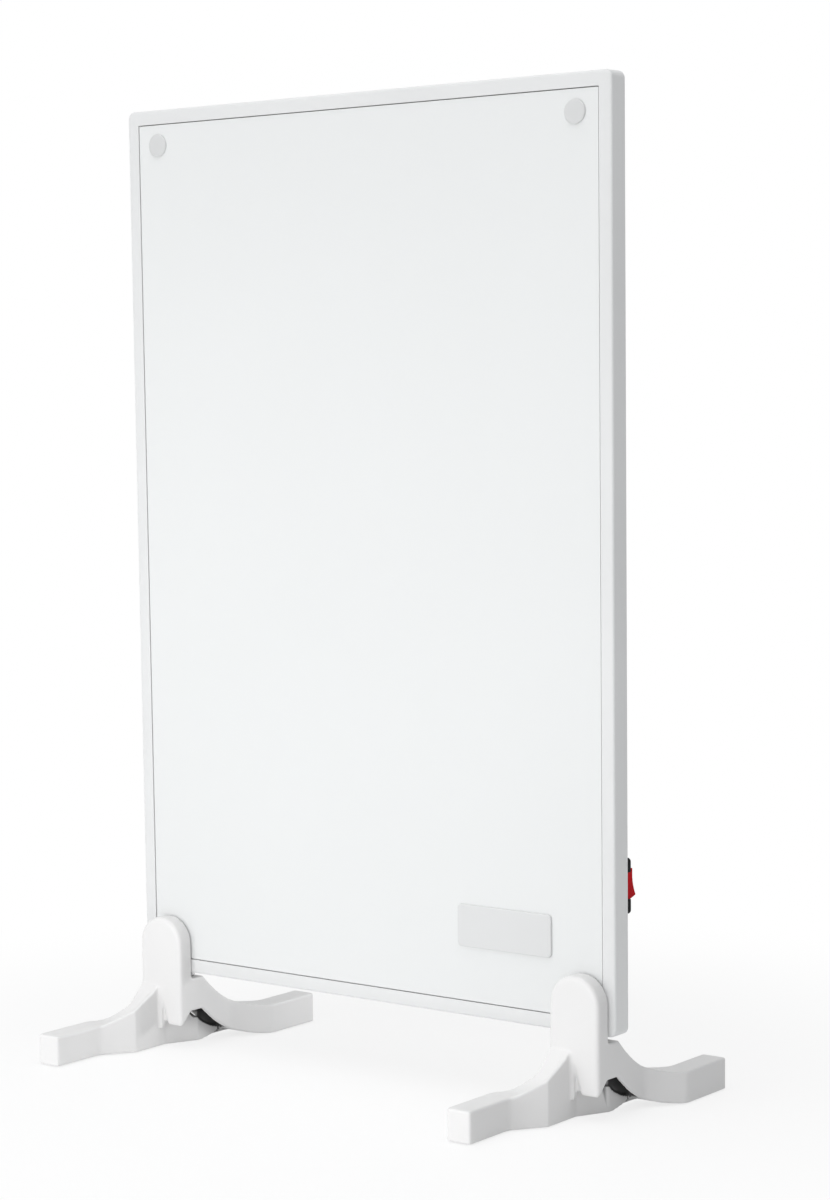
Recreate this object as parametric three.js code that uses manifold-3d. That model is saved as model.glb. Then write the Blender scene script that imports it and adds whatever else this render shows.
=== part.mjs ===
// Free-standing electric panel heater on two moulded feet. Millimetres, +Z up, +X to the right of
// someone who faces the heater, -Y towards them. The origin lies on the floor under its middle.
import * as THREE from "three";
import { mergeVertices } from "three/addons/utils/BufferGeometryUtils.js";
import Module from "manifold-3d";

const wasm = await Module();
wasm.setup();

// Panel enclosure
const panelWidth = 400;
const panelHeight = 600;
const panelThickness = 15;
const panelLift = 54;
const cornerRadius = 5;
const frontEdgeRound = 2.4;
const borderWidth = 9.6;
const borderCornerRadius = 0.8;
const lipThickness = 2.4;
const frameWall = 2.2;
const backCoverThickness = 1.2;
const backCoverGap = 0.3;

// Front board
const jointGap = 0.6;
const boardRecess = 0.5;
const boardFlange = 3;
const boardFlangeThickness = 1.1;
const sheetGap = 0.1;

// Wall-fixing holes, their spacer sleeves and their cover caps
const fixingInsetX = 27.2;
const fixingInsetZ = 24;
const fixingHoleRadius = 4.8;
const sleeveRadius = 6;
const sleeveBoreRadius = 4.7;
const capRadius = 7.8;
const capHeight = 1.5;
const capRimRound = 0.6;
const capStemRadius = 4.2;
const capStemLength = 6;
const capStemWall = 1;

// Bare raised plate on the board
const plateWidth = 74;
const plateHeight = 28;
const plateThickness = 1.5;
const plateCornerRadius = 3;
const plateEdgeRound = 0.6;
const plateFromRight = 85.5;
const plateFromBottom = 60;

// Heating stack behind the board
const stackSideMargin = 35;
const stackEndMargin = 30;
const trackThickness = 0.6;
const carrierThickness = 0.6;
const foilThickness = 0.4;
const trackWidth = 6;
const trackPitch = 22;
const trackMargin = 12;
const trackLeadLength = 9;
const stackCornerRadius = 3;

// Rear cover screws and the posts they bite into
const postRadius = 3.4;
const postSink = 0.6;
const lowerPostRise = 40;
const postPilotRadius = 1.5;
const coverScrewRadius = 1.3;
const coverScrewHeadRadius = 2.8;
const coverScrewHeadHeight = 1.6;
const coverScrewLength = 9;
const coverScrewHoleRadius = 1.8;
const coverScrewDriveRadius = 1.1;
const coverScrewDriveDepth = 0.9;
const coverScrewDomeShare = 0.6;

// Rocker switch on the back, near the right-hand edge
const switchHeightAboveEdge = 94.3;
const bezelWidth = 14.5;
const bezelHeight = 36;
const bezelDepth = 6.6;
const bezelCornerRadius = 2.5;
const bezelEdgeRound = 0.8;
const bodyWallGap = 0.3;
const bodyWidth = 13;
const bodyHeight = 27;
const bodyDepth = 7.1;
const bodyFloor = 1.4;
const rockerWidth = 10.2;
const rockerHalfLength = 10;
const rockerTipInset = 0.9;
const rockerTipHeight = 9.2;
const rockerMiddleHeight = 6.8;
const rockerSkirt = 4;
const rockerPivotDepth = 2.5;
const rockerTiltDegrees = 11.5;
const rockerSideGap = 0.3;
const rockerEndGap = 0.95;
const pivotPinRadius = 1.5;
const pivotPinLength = 0.7;
const pivotClearance = 0.1;
const spadeWidth = 4.8;
const spadeThickness = 0.8;
const spadeLength = 6;
const spadeOffset = 6.5;
const contactThickness = 0.5;
const fitGap = 0.3;

// Thermal cut-out, terminal block, cord inlet and inner leads
const cutoutFromBottom = 190;
const cutoutBodyRadius = 7.5;
const cutoutBodyDepth = 5.4;
const cutoutFlangeWidth = 11;
const cutoutFlangeLength = 24;
const cutoutFlangeThickness = 1;
const cutoutTabWidth = 4;
const cutoutTabLength = 7;
const cutoutTabThickness = 0.8;
const blockFromBottom = 136;
const blockWidth = 18;
const blockHeight = 16;
const blockDepth = 8;
const blockBoreRadius = 2;
const blockPoleOffset = 4.4;
const poleRadius = 1.7;
const poleBoreRadius = 1.3;
const inletFromBottom = 54;
const inletFlangeRadius = 8;
const inletFlangeThickness = 2;
const inletBodyRadius = 5.8;
const inletBoreRadius = 3.7;
const inletLength = 9;
const leadRadius = 1.1;
const leadGap = 0.4;
const leadBend = 3;
const leadSides = 8;
const leadStep = 4;
const endBendShare = 0.9;
const innerBendShare = 0.45;

// Feet
const footInset = 24;
const footHalfLength = 105;
const legWidth = 18.5;
const legHeight = 21.5;
const legOffset = 37;
const legCornerRadius = 2;
const jogCornerRadius = 3;
const archStart = 57;
const jogOuterStart = 57;
const jogOuterEnd = 33;
const jogInnerStart = 64;
const jogInnerEnd = 43;
const innerFace = 3;
const hubHalfWidth = 19;
const hubHalfDepth = 19.5;
const hubBack = 4;
const slotFloorHeight = 50;
const slotGap = 0.3;
const apexHeight = 26.5;
const apexEnd = 3.5;
const frontRiseStart = 52;
const frontRiseTurn = 40;
const frontRiseHeight = 44.5;
const tabTopHeight = 93.5;
const tabBottomHeight = 16;
const tabNarrowShift = 5;
const tabRootSink = 3;
const tabEdgeRound = 2.6;
const cheekTopHeight = 78;
const cheekCornerRadius = 6;
const webThickness = 3.2;
const webTurnStart = 12.5;
const webTurnEnd = 9.5;
const webEnd = 31;
const webEndHeight = 7.5;
const webTipHeight = 3;
const soleGap = 0.5;
const footWall = 3;
const footRib = 2;
const padSetback = 12;
const tabFace = 3.4;
const screwTowerWall = 2.2;
const padThickness = 3;
const padGap = 0.3;

// Foot screws, up through the slot floor into the frame's lower wall
const footScrewOffset = 10;
const footScrewRadius = 1.9;
const footScrewLength = 19;
const footScrewHeadRadius = 4;
const footScrewHeadHeight = 2.6;
const footScrewFloor = 6;
const footScrewClearance = 0.3;
const frameBossWidth = 9;
const frameBossHeight = 14;
const cushionWidth = 11;
const cushionDepth = 12;
const cushionGap = 0.2;

// Cuts run this far past the faces that they open
const overrun = 2;
const cornerSteps = 3;
const sweepSteps = 8;
const roundSteps = 20;
const smallRoundSteps = 12;
const edgeSteps = 2;

// Places that follow from the sizes above
const frontFace = -panelThickness / 2;
const backFace = panelThickness / 2;
const padLength = footHalfLength - footWall - footRib - padSetback - jogInnerStart;
const panelMiddle = panelLift + panelHeight / 2;
const halfWidth = panelWidth / 2;
const halfHeight = panelHeight / 2;
const boardFace = frontFace + boardRecess;
const boardBack = frontFace + lipThickness + boardFlangeThickness + sheetGap;
const coverFace = backFace - backCoverThickness;
const stackWidth = panelWidth - 2 * stackSideMargin;
const stackHeight = panelHeight - 2 * stackEndMargin;
const bayX = (halfWidth - frameWall + stackWidth / 2) / 2;
const footSpacing = panelWidth - 2 * footInset;
const fixingX = halfWidth - fixingInsetX;
const fixingZ = halfHeight - fixingInsetZ;
const switchX = halfWidth - frameWall - bodyWallGap - bodyWidth / 2;
const switchZ = -halfHeight + switchHeightAboveEdge;
const bezelFace = backFace + bezelDepth;
const pivotY = bezelFace - rockerPivotDepth;
const bodyFront = backFace - bodyDepth;
const hubCeiling = slotFloorHeight - footScrewFloor;

// Outlines

function polygon(points) {
  return new THREE.Shape(points.map(([u, v]) => new THREE.Vector2(u, v)));
}

// A polygon whose corners are rounded, each by its own radius, in the order of the points
function roundedPolygon(corners) {
  const shape = new THREE.Shape();
  const count = corners.length;
  corners.forEach(([u, v, radius], index) => {
    const here = new THREE.Vector2(u, v);
    const before = new THREE.Vector2(...corners[(index + count - 1) % count].slice(0, 2));
    const after = new THREE.Vector2(...corners[(index + 1) % count].slice(0, 2));
    const enter = here.clone().add(before.sub(here).setLength(radius));
    const leave = here.clone().add(after.sub(here).setLength(radius));
    if (index === 0) shape.moveTo(enter.x, enter.y);
    else shape.lineTo(enter.x, enter.y);
    if (radius > 0) shape.quadraticCurveTo(here.x, here.y, leave.x, leave.y);
  });
  shape.closePath();
  return shape;
}

// The same corners moved in by one wall, for an outline that runs anticlockwise
function insetPolygon(corners, wall) {
  const count = corners.length;
  return polygon(corners.map(([u, v], index) => {
    const here = new THREE.Vector2(u, v);
    const arriving = here.clone().sub(new THREE.Vector2(...corners[(index + count - 1) % count]));
    const leaving = new THREE.Vector2(...corners[(index + 1) % count]).sub(here);
    const first = new THREE.Vector2(-arriving.y, arriving.x).normalize();
    const second = new THREE.Vector2(-leaving.y, leaving.x).normalize();
    const move = first.clone().add(second).multiplyScalar(wall / (1 + first.dot(second)));
    return here.add(move).toArray();
  }));
}

function roundedRectangle(width, height, radius) {
  const u = width / 2;
  const v = height / 2;
  const shape = new THREE.Shape();
  shape.moveTo(u, -v + radius);
  shape.absarc(u - radius, v - radius, radius, 0, Math.PI / 2);
  shape.absarc(-u + radius, v - radius, radius, Math.PI / 2, Math.PI);
  shape.absarc(-u + radius, -v + radius, radius, Math.PI, Math.PI * 3 / 2);
  shape.absarc(u - radius, -v + radius, radius, Math.PI * 3 / 2, Math.PI * 2);
  return shape;
}

// Solids

function solid(geometry) {
  const bare = geometry.clone();
  bare.deleteAttribute("normal");
  bare.deleteAttribute("uv");
  const merged = mergeVertices(bare);
  return new wasm.Manifold(new wasm.Mesh({
    numProp: 3,
    vertProperties: new Float32Array(merged.attributes.position.array),
    triVerts: new Uint32Array(merged.index.array),
  }));
}

function extrusion(shape, depth, curveSegments = cornerSteps) {
  return new THREE.ExtrudeGeometry(shape, { depth, bevelEnabled: false, curveSegments });
}

// Extrudes an outline in X and Z from one Y to another
function facePlate(shape, fromY, toY, x = 0, z = 0, curveSegments = cornerSteps) {
  const geometry = extrusion(shape, toY - fromY, curveSegments);
  geometry.rotateX(Math.PI / 2);
  geometry.translate(x, toY, z);
  return solid(geometry);
}

// Extrudes an outline in Y and Z from one X to another
function sidePlate(shape, fromX, toX) {
  const geometry = extrusion(shape, toX - fromX, sweepSteps);
  const turn = new THREE.Matrix4().makeBasis(
    new THREE.Vector3(0, 1, 0), new THREE.Vector3(0, 0, 1), new THREE.Vector3(1, 0, 0));
  geometry.applyMatrix4(turn);
  geometry.translate(fromX, 0, 0);
  return solid(geometry);
}

// Extrudes an outline in X and Y from one Z to another
function planPlate(shape, fromZ, toZ) {
  const geometry = extrusion(shape, toZ - fromZ);
  geometry.translate(0, 0, fromZ);
  return solid(geometry);
}

// A face plate whose edge round the face at fromY is rounded
function roundedFacePlate(shape, fromY, toY, round, x = 0, z = 0, curveSegments = cornerSteps) {
  const geometry = new THREE.ExtrudeGeometry(shape, {
    depth: toY - fromY, bevelEnabled: true, bevelThickness: round, bevelSize: round,
    bevelOffset: -round, bevelSegments: edgeSteps, curveSegments,
  });
  geometry.rotateX(Math.PI / 2);
  geometry.translate(x, toY + round, z);
  const far = panelHeight + overrun;
  return solid(geometry).subtract(box(-far, far, toY, toY + far, -far, far));
}

function box(x0, x1, y0, y1, z0, z1) {
  const geometry = new THREE.BoxGeometry(x1 - x0, y1 - y0, z1 - z0);
  geometry.translate((x0 + x1) / 2, (y0 + y1) / 2, (z0 + z1) / 2);
  return solid(geometry);
}

function roundBar(radius, fromY, toY, x, z, sides = roundSteps) {
  const geometry = new THREE.CylinderGeometry(radius, radius, toY - fromY, sides);
  geometry.translate(x, (fromY + toY) / 2, z);
  return solid(geometry);
}

function uprightBar(radius, fromZ, toZ, x, y, sides = roundSteps) {
  const geometry = new THREE.CylinderGeometry(radius, radius, toZ - fromZ, sides);
  geometry.rotateX(Math.PI / 2);
  geometry.translate(x, y, (fromZ + toZ) / 2);
  return solid(geometry);
}

function crossBar(radius, fromX, toX, y, z, sides = roundSteps) {
  const geometry = new THREE.CylinderGeometry(radius, radius, toX - fromX, sides);
  geometry.rotateZ(Math.PI / 2);
  geometry.translate((fromX + toX) / 2, y, z);
  return solid(geometry);
}

// A turned piece about an axis along Y, from [radius, y] pairs that start and end on the axis
// or close on themselves
function turned(profile, x, z, sides = roundSteps) {
  const points = profile.map(([radius, y]) => new THREE.Vector2(radius, y));
  const geometry = new THREE.LatheGeometry(points, sides);
  geometry.translate(x, 0, z);
  return solid(geometry);
}

function union(parts) {
  return parts.reduce((whole, part) => whole.add(part));
}

function cut(body, cutters) {
  return cutters.reduce((rest, cutter) => rest.subtract(cutter), body);
}

// A round lead along straight runs between corners, with each corner eased into a bend
function leadAlong(corners) {
  const route = new THREE.CurvePath();
  const last = corners.length - 1;
  let here = corners[0];
  for (let index = 1; index < last; index += 1) {
    const corner = corners[index];
    const before = corner.distanceTo(corners[index - 1]) * (index === 1 ? endBendShare : innerBendShare);
    const afterShare = index === last - 1 ? endBendShare : innerBendShare;
    const after = corner.distanceTo(corners[index + 1]) * afterShare;
    const reach = Math.min(leadBend, before, after);
    const enter = corner.clone().add(corners[index - 1].clone().sub(corner).setLength(reach));
    const leave = corner.clone().add(corners[index + 1].clone().sub(corner).setLength(reach));
    route.add(new THREE.LineCurve3(here, enter));
    route.add(new THREE.QuadraticBezierCurve3(enter, corner, leave));
    here = leave;
  }
  route.add(new THREE.LineCurve3(here, corners[last]));
  const section = new THREE.Shape();
  section.absarc(0, 0, leadRadius, 0, Math.PI * 2);
  const steps = Math.ceil(route.getLength() / leadStep);
  const geometry = new THREE.ExtrudeGeometry(section, {
    steps, extrudePath: route, bevelEnabled: false, curveSegments: leadSides / 2,
  });
  return solid(geometry);
}

// The scene graph

const heater = new THREE.Group();
const panelGroup = new THREE.Group();
panelGroup.position.z = panelMiddle;
heater.add(panelGroup);

function finish(color, roughness, metalness = 0) {
  return () => new THREE.MeshStandardMaterial({ color, roughness, metalness, flatShading: true });
}

const whiteBoard = finish(0xe9ebea, 0.55);
const whiteMoulding = finish(0xe4e6e6, 0.5);
const whiteFoot = finish(0xe6e6e4, 0.45);
const coatedSteel = finish(0xdcdedd, 0.5, 0.2);
const steel = finish(0xb4b6b8, 0.35, 1);
const brass = finish(0xc9a758, 0.35, 1);
const foil = finish(0xd9dbdd, 0.25, 1);
const mica = finish(0xb59a6a, 0.6);
const track = finish(0x8d8a86, 0.45, 1);
const wool = finish(0xe8e2d2, 0.95);
const blackMoulding = finish(0x161616, 0.4);
const redRocker = finish(0x9c0a0a, 0.3);
const ceramic = finish(0xf1efe8, 0.5);
const rubber = finish(0x2a2a2a, 0.85);
const redLead = finish(0x8a4a1c, 0.5);
const blueLead = finish(0x2f4f8f, 0.5);

function place(group, name, body, material) {
  const mesh = body.getMesh();
  const geometry = new THREE.BufferGeometry();
  geometry.setAttribute("position", new THREE.BufferAttribute(mesh.vertProperties, 3));
  geometry.setIndex(new THREE.BufferAttribute(mesh.triVerts, 1));
  const node = new THREE.Mesh(geometry, material());
  node.name = name;
  group.add(node);
}

// Posts stand against the frame's walls: the lower two at the sides are raised clear of the feet

const postX = halfWidth - frameWall - postRadius + postSink;
const postZ = halfHeight - frameWall - postRadius + postSink;
const postPlaces = [
  [-postX, postZ], [0, postZ], [postX, postZ],
  [-postX, 0], [postX, 0],
  [-postX, lowerPostRise - postZ], [0, -postZ], [postX, lowerPostRise - postZ],
];

const footScrewPlaces = [-1, 1].flatMap(
  (side) => [-footScrewOffset, footScrewOffset].map((offset) => side * footSpacing / 2 + offset));

// The surround: a rounded border, a lip that holds the board, side walls, posts and foot bosses
function makeFrame() {
  const outline = roundedRectangle(panelWidth, panelHeight, cornerRadius);
  const block = roundedFacePlate(outline, frontFace, backFace, frontEdgeRound);
  const opening = facePlate(
    roundedRectangle(panelWidth - 2 * borderWidth, panelHeight - 2 * borderWidth, borderCornerRadius),
    frontFace - overrun, backFace + overrun);
  const hollow = facePlate(
    roundedRectangle(panelWidth - 2 * frameWall, panelHeight - 2 * frameWall, cornerRadius - frameWall),
    frontFace + lipThickness, backFace + overrun);
  const postTop = coverFace - sheetGap;
  const posts = postPlaces.map(([x, z]) =>
    roundBar(postRadius, frontFace + lipThickness / 2, postTop, x, z, smallRoundSteps));
  const pilots = postPlaces.map(([x, z]) =>
    roundBar(postPilotRadius, backFace - coverScrewLength - overrun, backFace, x, z, smallRoundSteps));
  const bossTop = -halfHeight + frameWall + frameBossHeight;
  const bosses = footScrewPlaces.map((x) => box(
    x - frameBossWidth / 2, x + frameBossWidth / 2, boardBack + fitGap, postTop,
    -halfHeight + frameWall / 2, bossTop));
  const screwHoles = footScrewPlaces.map((x) => uprightBar(
    footScrewRadius + footScrewClearance, -halfHeight - overrun, bossTop + overrun, x, 0, smallRoundSteps));
  return cut(union([cut(block, [opening, hollow]), ...posts, ...bosses]), [...pilots, ...screwHoles]);
}

// The radiating board: a field that fills the opening, on a thinner flange behind the lip
function makeBoard() {
  const fieldWidth = panelWidth - 2 * borderWidth - 2 * jointGap;
  const fieldHeight = panelHeight - 2 * borderWidth - 2 * jointGap;
  const field = facePlate(
    roundedRectangle(fieldWidth, fieldHeight, borderCornerRadius), boardFace, boardBack);
  const flange = facePlate(
    roundedRectangle(
      panelWidth - 2 * borderWidth + 2 * boardFlange,
      panelHeight - 2 * borderWidth + 2 * boardFlange, borderCornerRadius),
    frontFace + lipThickness + sheetGap, boardBack);
  const holes = [-fixingX, fixingX].map((x) =>
    roundBar(fixingHoleRadius, boardFace - overrun, boardBack + overrun, x, fixingZ));
  const postClearance = postPlaces.map(([x, z]) =>
    roundBar(postRadius + fitGap, frontFace, boardBack + overrun, x, z, smallRoundSteps));
  return cut(field.add(flange), [...holes, ...postClearance]);
}

function makeCap(x) {
  const top = boardFace - capHeight;
  const stemEnd = boardFace + capStemLength;
  const stemInside = capStemRadius - capStemWall;
  return turned([
    [0, top], [capRadius - capRimRound, top], [capRadius, top + capRimRound],
    [capRadius, boardFace - sheetGap], [capStemRadius, boardFace - sheetGap],
    [capStemRadius, stemEnd], [stemInside, stemEnd], [stemInside, boardFace], [0, boardFace],
  ], x, fixingZ);
}

function makeSleeve(x) {
  const outer = roundBar(sleeveRadius, boardBack + sheetGap, coverFace - sheetGap, x, fixingZ);
  const bore = roundBar(sleeveBoreRadius, boardBack - overrun, coverFace + overrun, x, fixingZ);
  return outer.subtract(bore);
}

function makePlate() {
  const outline = roundedRectangle(plateWidth, plateHeight, plateCornerRadius);
  return roundedFacePlate(
    outline, boardFace - plateThickness, boardFace - sheetGap, plateEdgeRound,
    halfWidth - plateFromRight, -halfHeight + plateFromBottom);
}

// The stack lies between the board and the rear cover, one sheet behind the other

const trackFace = boardBack + sheetGap;
const carrierFace = trackFace + trackThickness + sheetGap;
const foilFace = carrierFace + carrierThickness + sheetGap;
const woolFace = foilFace + foilThickness + sheetGap;

// An even number of level runs, linked at alternate ends, starts and ends on the right-hand side;
// a return strip brings the upper end down beside the lower one
const trackRunHalf = stackWidth / 2 - trackMargin - trackPitch / 2;
const trackRuns = 2 * Math.floor((stackHeight - 2 * trackMargin) / trackPitch / 2);
const trackBottom = -trackPitch * (trackRuns - 1) / 2;
const returnX = stackWidth / 2 - trackMargin / 2 - trackWidth / 2;
const leadX = stackWidth / 2 + trackLeadLength;
const returnLeadZ = trackBottom + trackPitch;

function makeTrack() {
  const strip = (x0, x1, z0, z1) => box(x0, x1, trackFace, trackFace + trackThickness, z0, z1);
  const half = trackWidth / 2;
  const strips = [];
  for (let run = 0; run < trackRuns; run += 1) {
    const z = trackBottom + run * trackPitch;
    strips.push(strip(-trackRunHalf, trackRunHalf, z - half, z + half));
    if (run === trackRuns - 1) continue;
    const side = run % 2 === 0 ? -1 : 1;
    const x = side * (trackRunHalf - half);
    strips.push(strip(x - half, x + half, z, z + trackPitch));
  }
  const top = trackBottom + (trackRuns - 1) * trackPitch;
  strips.push(strip(trackRunHalf - half, returnX + half, top - half, top + half));
  strips.push(strip(returnX - half, returnX + half, returnLeadZ - half, top));
  strips.push(strip(returnX - half, leadX, returnLeadZ - half, returnLeadZ + half));
  strips.push(strip(trackRunHalf - half, leadX, trackBottom - half, trackBottom + half));
  return union(strips);
}

function makeSheet(fromY, thickness) {
  const sheet = facePlate(
    roundedRectangle(stackWidth, stackHeight, stackCornerRadius), fromY, fromY + thickness);
  const sleeveClearance = [-fixingX, fixingX].map((x) =>
    roundBar(sleeveRadius + fitGap, fromY - overrun, fromY + thickness + overrun, x, fixingZ));
  return cut(sheet, sleeveClearance);
}

function makeBackCover() {
  const inset = frameWall + backCoverGap;
  const sheet = facePlate(
    roundedRectangle(panelWidth - 2 * inset, panelHeight - 2 * inset, cornerRadius - inset),
    coverFace, backFace);
  const hole = (radius, x, z, sides = roundSteps) =>
    roundBar(radius, coverFace - overrun, backFace + overrun, x, z, sides);
  const switchHole = facePlate(
    roundedRectangle(bodyWidth + 2 * fitGap, bodyHeight + 2 * fitGap, fitGap),
    coverFace - overrun, backFace + overrun, switchX, switchZ);
  return cut(sheet, [
    switchHole,
    ...[-fixingX, fixingX].map((x) => hole(fixingHoleRadius, x, fixingZ)),
    ...postPlaces.map(([x, z]) => hole(coverScrewHoleRadius, x, z, smallRoundSteps)),
    hole(inletBodyRadius + fitGap, bayX, -halfHeight + inletFromBottom),
  ]);
}

function makeCoverScrew(x, z) {
  const headFace = backFace + sheetGap;
  const top = headFace + coverScrewHeadHeight;
  return turned([
    [0, backFace - coverScrewLength], [coverScrewRadius, backFace - coverScrewLength + coverScrewRadius],
    [coverScrewRadius, headFace], [coverScrewHeadRadius, headFace],
    [coverScrewHeadRadius, headFace + coverScrewHeadHeight / 2],
    [coverScrewHeadRadius * coverScrewDomeShare, top], [coverScrewDriveRadius, top],
    [coverScrewDriveRadius / 2, top - coverScrewDriveDepth], [0, top - coverScrewDriveDepth],
  ], x, z, smallRoundSteps);
}

// Rocker switch

function makeSwitchHousing() {
  const bezel = roundedFacePlate(
    roundedRectangle(bezelWidth, bezelHeight, bezelCornerRadius),
    -bezelFace, -backFace - sheetGap, bezelEdgeRound).rotate([0, 0, 180]);
  const body = box(
    -bodyWidth / 2, bodyWidth / 2, bodyFront, backFace + bezelDepth / 2, -bodyHeight / 2, bodyHeight / 2);
  const mouthHalf = rockerHalfLength + rockerEndGap;
  const mouth = box(
    -rockerWidth / 2 - rockerSideGap, rockerWidth / 2 + rockerSideGap,
    bodyFront + bodyFloor, bezelFace + overrun, -mouthHalf, mouthHalf);
  const pinReach = rockerWidth / 2 + pivotPinLength + fitGap;
  const pinHole = crossBar(pivotPinRadius + pivotClearance, -pinReach, pinReach, pivotY, 0);
  const slots = [-spadeOffset, spadeOffset].map((z) => box(
    -spadeWidth / 2 - fitGap, spadeWidth / 2 + fitGap, bodyFront - overrun, bodyFront + bodyFloor + overrun,
    z - spadeThickness / 2 - fitGap, z + spadeThickness / 2 + fitGap));
  return cut(bezel.add(body), [mouth, pinHole, ...slots]).translate([switchX, 0, switchZ]);
}

// At rest the lower end of the rocker stands out, so the piece is drawn level and then tilted
function makeRocker() {
  const side = roundedPolygon([
    [-rockerSkirt, -rockerHalfLength, 0], [0, -rockerHalfLength, 0],
    [rockerTipHeight, -rockerHalfLength + rockerTipInset, rockerTipInset],
    [rockerMiddleHeight, 0, rockerMiddleHeight],
    [rockerTipHeight, rockerHalfLength - rockerTipInset, rockerTipInset],
    [0, rockerHalfLength, 0], [-rockerSkirt, rockerHalfLength, 0],
  ].reverse());
  const key = sidePlate(side, -rockerWidth / 2, rockerWidth / 2);
  const pinReach = rockerWidth / 2 + pivotPinLength;
  const pins = crossBar(pivotPinRadius, -pinReach, pinReach, 0, 0);
  const skirtInside = rockerHalfLength - 2 * pivotPinRadius;
  const relief = [-1, 1].map((end) => box(
    -rockerWidth / 2 + pivotPinRadius, rockerWidth / 2 - pivotPinRadius,
    -rockerSkirt - overrun, 0, Math.min(end * 2 * pivotPinRadius, end * skirtInside),
    Math.max(end * 2 * pivotPinRadius, end * skirtInside)));
  return cut(key.add(pins), relief)
    .rotate([rockerTiltDegrees, 0, 0])
    .translate([switchX, pivotY, switchZ]);
}

function makeSpade(z) {
  const top = bodyFront + bodyFloor + contactThickness;
  return box(-spadeWidth / 2, spadeWidth / 2, top - spadeLength, top, z - spadeThickness / 2,
    z + spadeThickness / 2).translate([switchX, 0, switchZ]);
}

function makeContact() {
  const face = bodyFront + bodyFloor + contactThickness + sheetGap;
  const reach = spadeOffset + spadeThickness;
  return box(-spadeWidth / 2, spadeWidth / 2, face, face + contactThickness, -reach, reach)
    .translate([switchX, 0, switchZ]);
}

// Parts in the bay beside the stack

const cutoutZ = -halfHeight + cutoutFromBottom;
const blockZ = -halfHeight + blockFromBottom;
const inletZ = -halfHeight + inletFromBottom;
const bayFace = boardBack + sheetGap;

function makeCutout() {
  const flange = facePlate(
    roundedRectangle(cutoutFlangeWidth, cutoutFlangeLength, cutoutFlangeWidth / 3),
    bayFace, bayFace + cutoutFlangeThickness);
  const body = roundBar(cutoutBodyRadius, bayFace, bayFace + cutoutBodyDepth, 0, 0);
  const tabY = bayFace + cutoutBodyDepth - 2 * cutoutTabThickness;
  const tabReach = cutoutBodyRadius + cutoutTabLength;
  const tabs = box(
    -cutoutTabWidth / 2, cutoutTabWidth / 2, tabY, tabY + cutoutTabThickness, -tabReach, tabReach);
  return union([flange, body, tabs]).translate([bayX, 0, cutoutZ]);
}

function makeBlock() {
  const block = box(
    -blockWidth / 2, blockWidth / 2, bayFace, bayFace + blockDepth, -blockHeight / 2, blockHeight / 2);
  const middle = bayFace + blockDepth / 2;
  const bores = [-blockPoleOffset, blockPoleOffset].map((x) =>
    uprightBar(blockBoreRadius, -blockHeight, blockHeight, x, middle));
  const groove = box(-fitGap, fitGap, middle, bayFace + blockDepth + overrun, -blockHeight, blockHeight);
  return cut(block, [...bores, groove]).translate([bayX, 0, blockZ]);
}

function makePole(x) {
  const middle = bayFace + blockDepth / 2;
  const length = blockHeight / 2 - fitGap;
  return uprightBar(poleRadius, -length, length, x, middle)
    .subtract(uprightBar(poleBoreRadius, -blockHeight, blockHeight, x, middle))
    .translate([bayX, 0, blockZ]);
}

function makeInlet() {
  const flangeFace = backFace + sheetGap;
  const outer = flangeFace + inletFlangeThickness;
  return turned([
    [inletBoreRadius, outer - inletLength], [inletBodyRadius, outer - inletLength],
    [inletBodyRadius, flangeFace], [inletFlangeRadius, flangeFace],
    [inletFlangeRadius, outer - inletFlangeThickness / 2],
    [inletFlangeRadius - inletFlangeThickness / 2, outer], [inletBoreRadius, outer],
    [inletBoreRadius, outer - inletLength],
  ], bayX, inletZ);
}

// Feet. Each is one hollow moulding, open below, drawn about its own upright axis: a rear leg that
// leaves the hub on its right, the same leg turned half round for the front, a tall tab in front of
// the panel, a low cheek behind it, and a web that follows both legs.

const rearLegCorners = [
  [0, -hubHalfDepth + tabEdgeRound, 0],
  [hubHalfWidth, -hubHalfDepth + tabEdgeRound, 0],
  [hubHalfWidth, jogOuterEnd, jogCornerRadius],
  [legOffset, jogOuterStart, jogCornerRadius],
  [legOffset, footHalfLength, legCornerRadius],
  [legOffset - legWidth, footHalfLength, legCornerRadius],
  [legOffset - legWidth, jogInnerStart, jogCornerRadius],
  [innerFace, jogInnerEnd, jogCornerRadius],
  [innerFace, hubHalfDepth, 0],
  [0, hubHalfDepth, 0],
];

// The rear leg from the side, as seen from +X: level along the floor, then a sweep up to the slot
function rearSide(legTop, hubTop, sole) {
  const shape = new THREE.Shape();
  shape.moveTo(-hubHalfDepth, sole);
  shape.lineTo(footHalfLength, sole);
  shape.lineTo(footHalfLength, legTop);
  shape.lineTo(archStart, legTop);
  shape.quadraticCurveTo((archStart + hubBack) / 2, legTop, hubBack, hubTop);
  shape.lineTo(-hubHalfDepth, hubTop);
  shape.closePath();
  return shape;
}

// The front leg from the side: its sweep is shorter and meets the tab's face below the slot
function frontSide(legTop, riseTop, hubTop, sole) {
  const shape = new THREE.Shape();
  shape.moveTo(-footHalfLength, sole);
  shape.lineTo(hubHalfDepth, sole);
  shape.lineTo(hubHalfDepth, hubTop);
  shape.lineTo(-hubHalfDepth + tabEdgeRound, hubTop);
  shape.lineTo(-hubHalfDepth, riseTop);
  shape.quadraticCurveTo(-frontRiseTurn, legTop, -frontRiseStart, legTop);
  shape.lineTo(-footHalfLength, legTop);
  shape.closePath();
  return shape;
}

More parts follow.
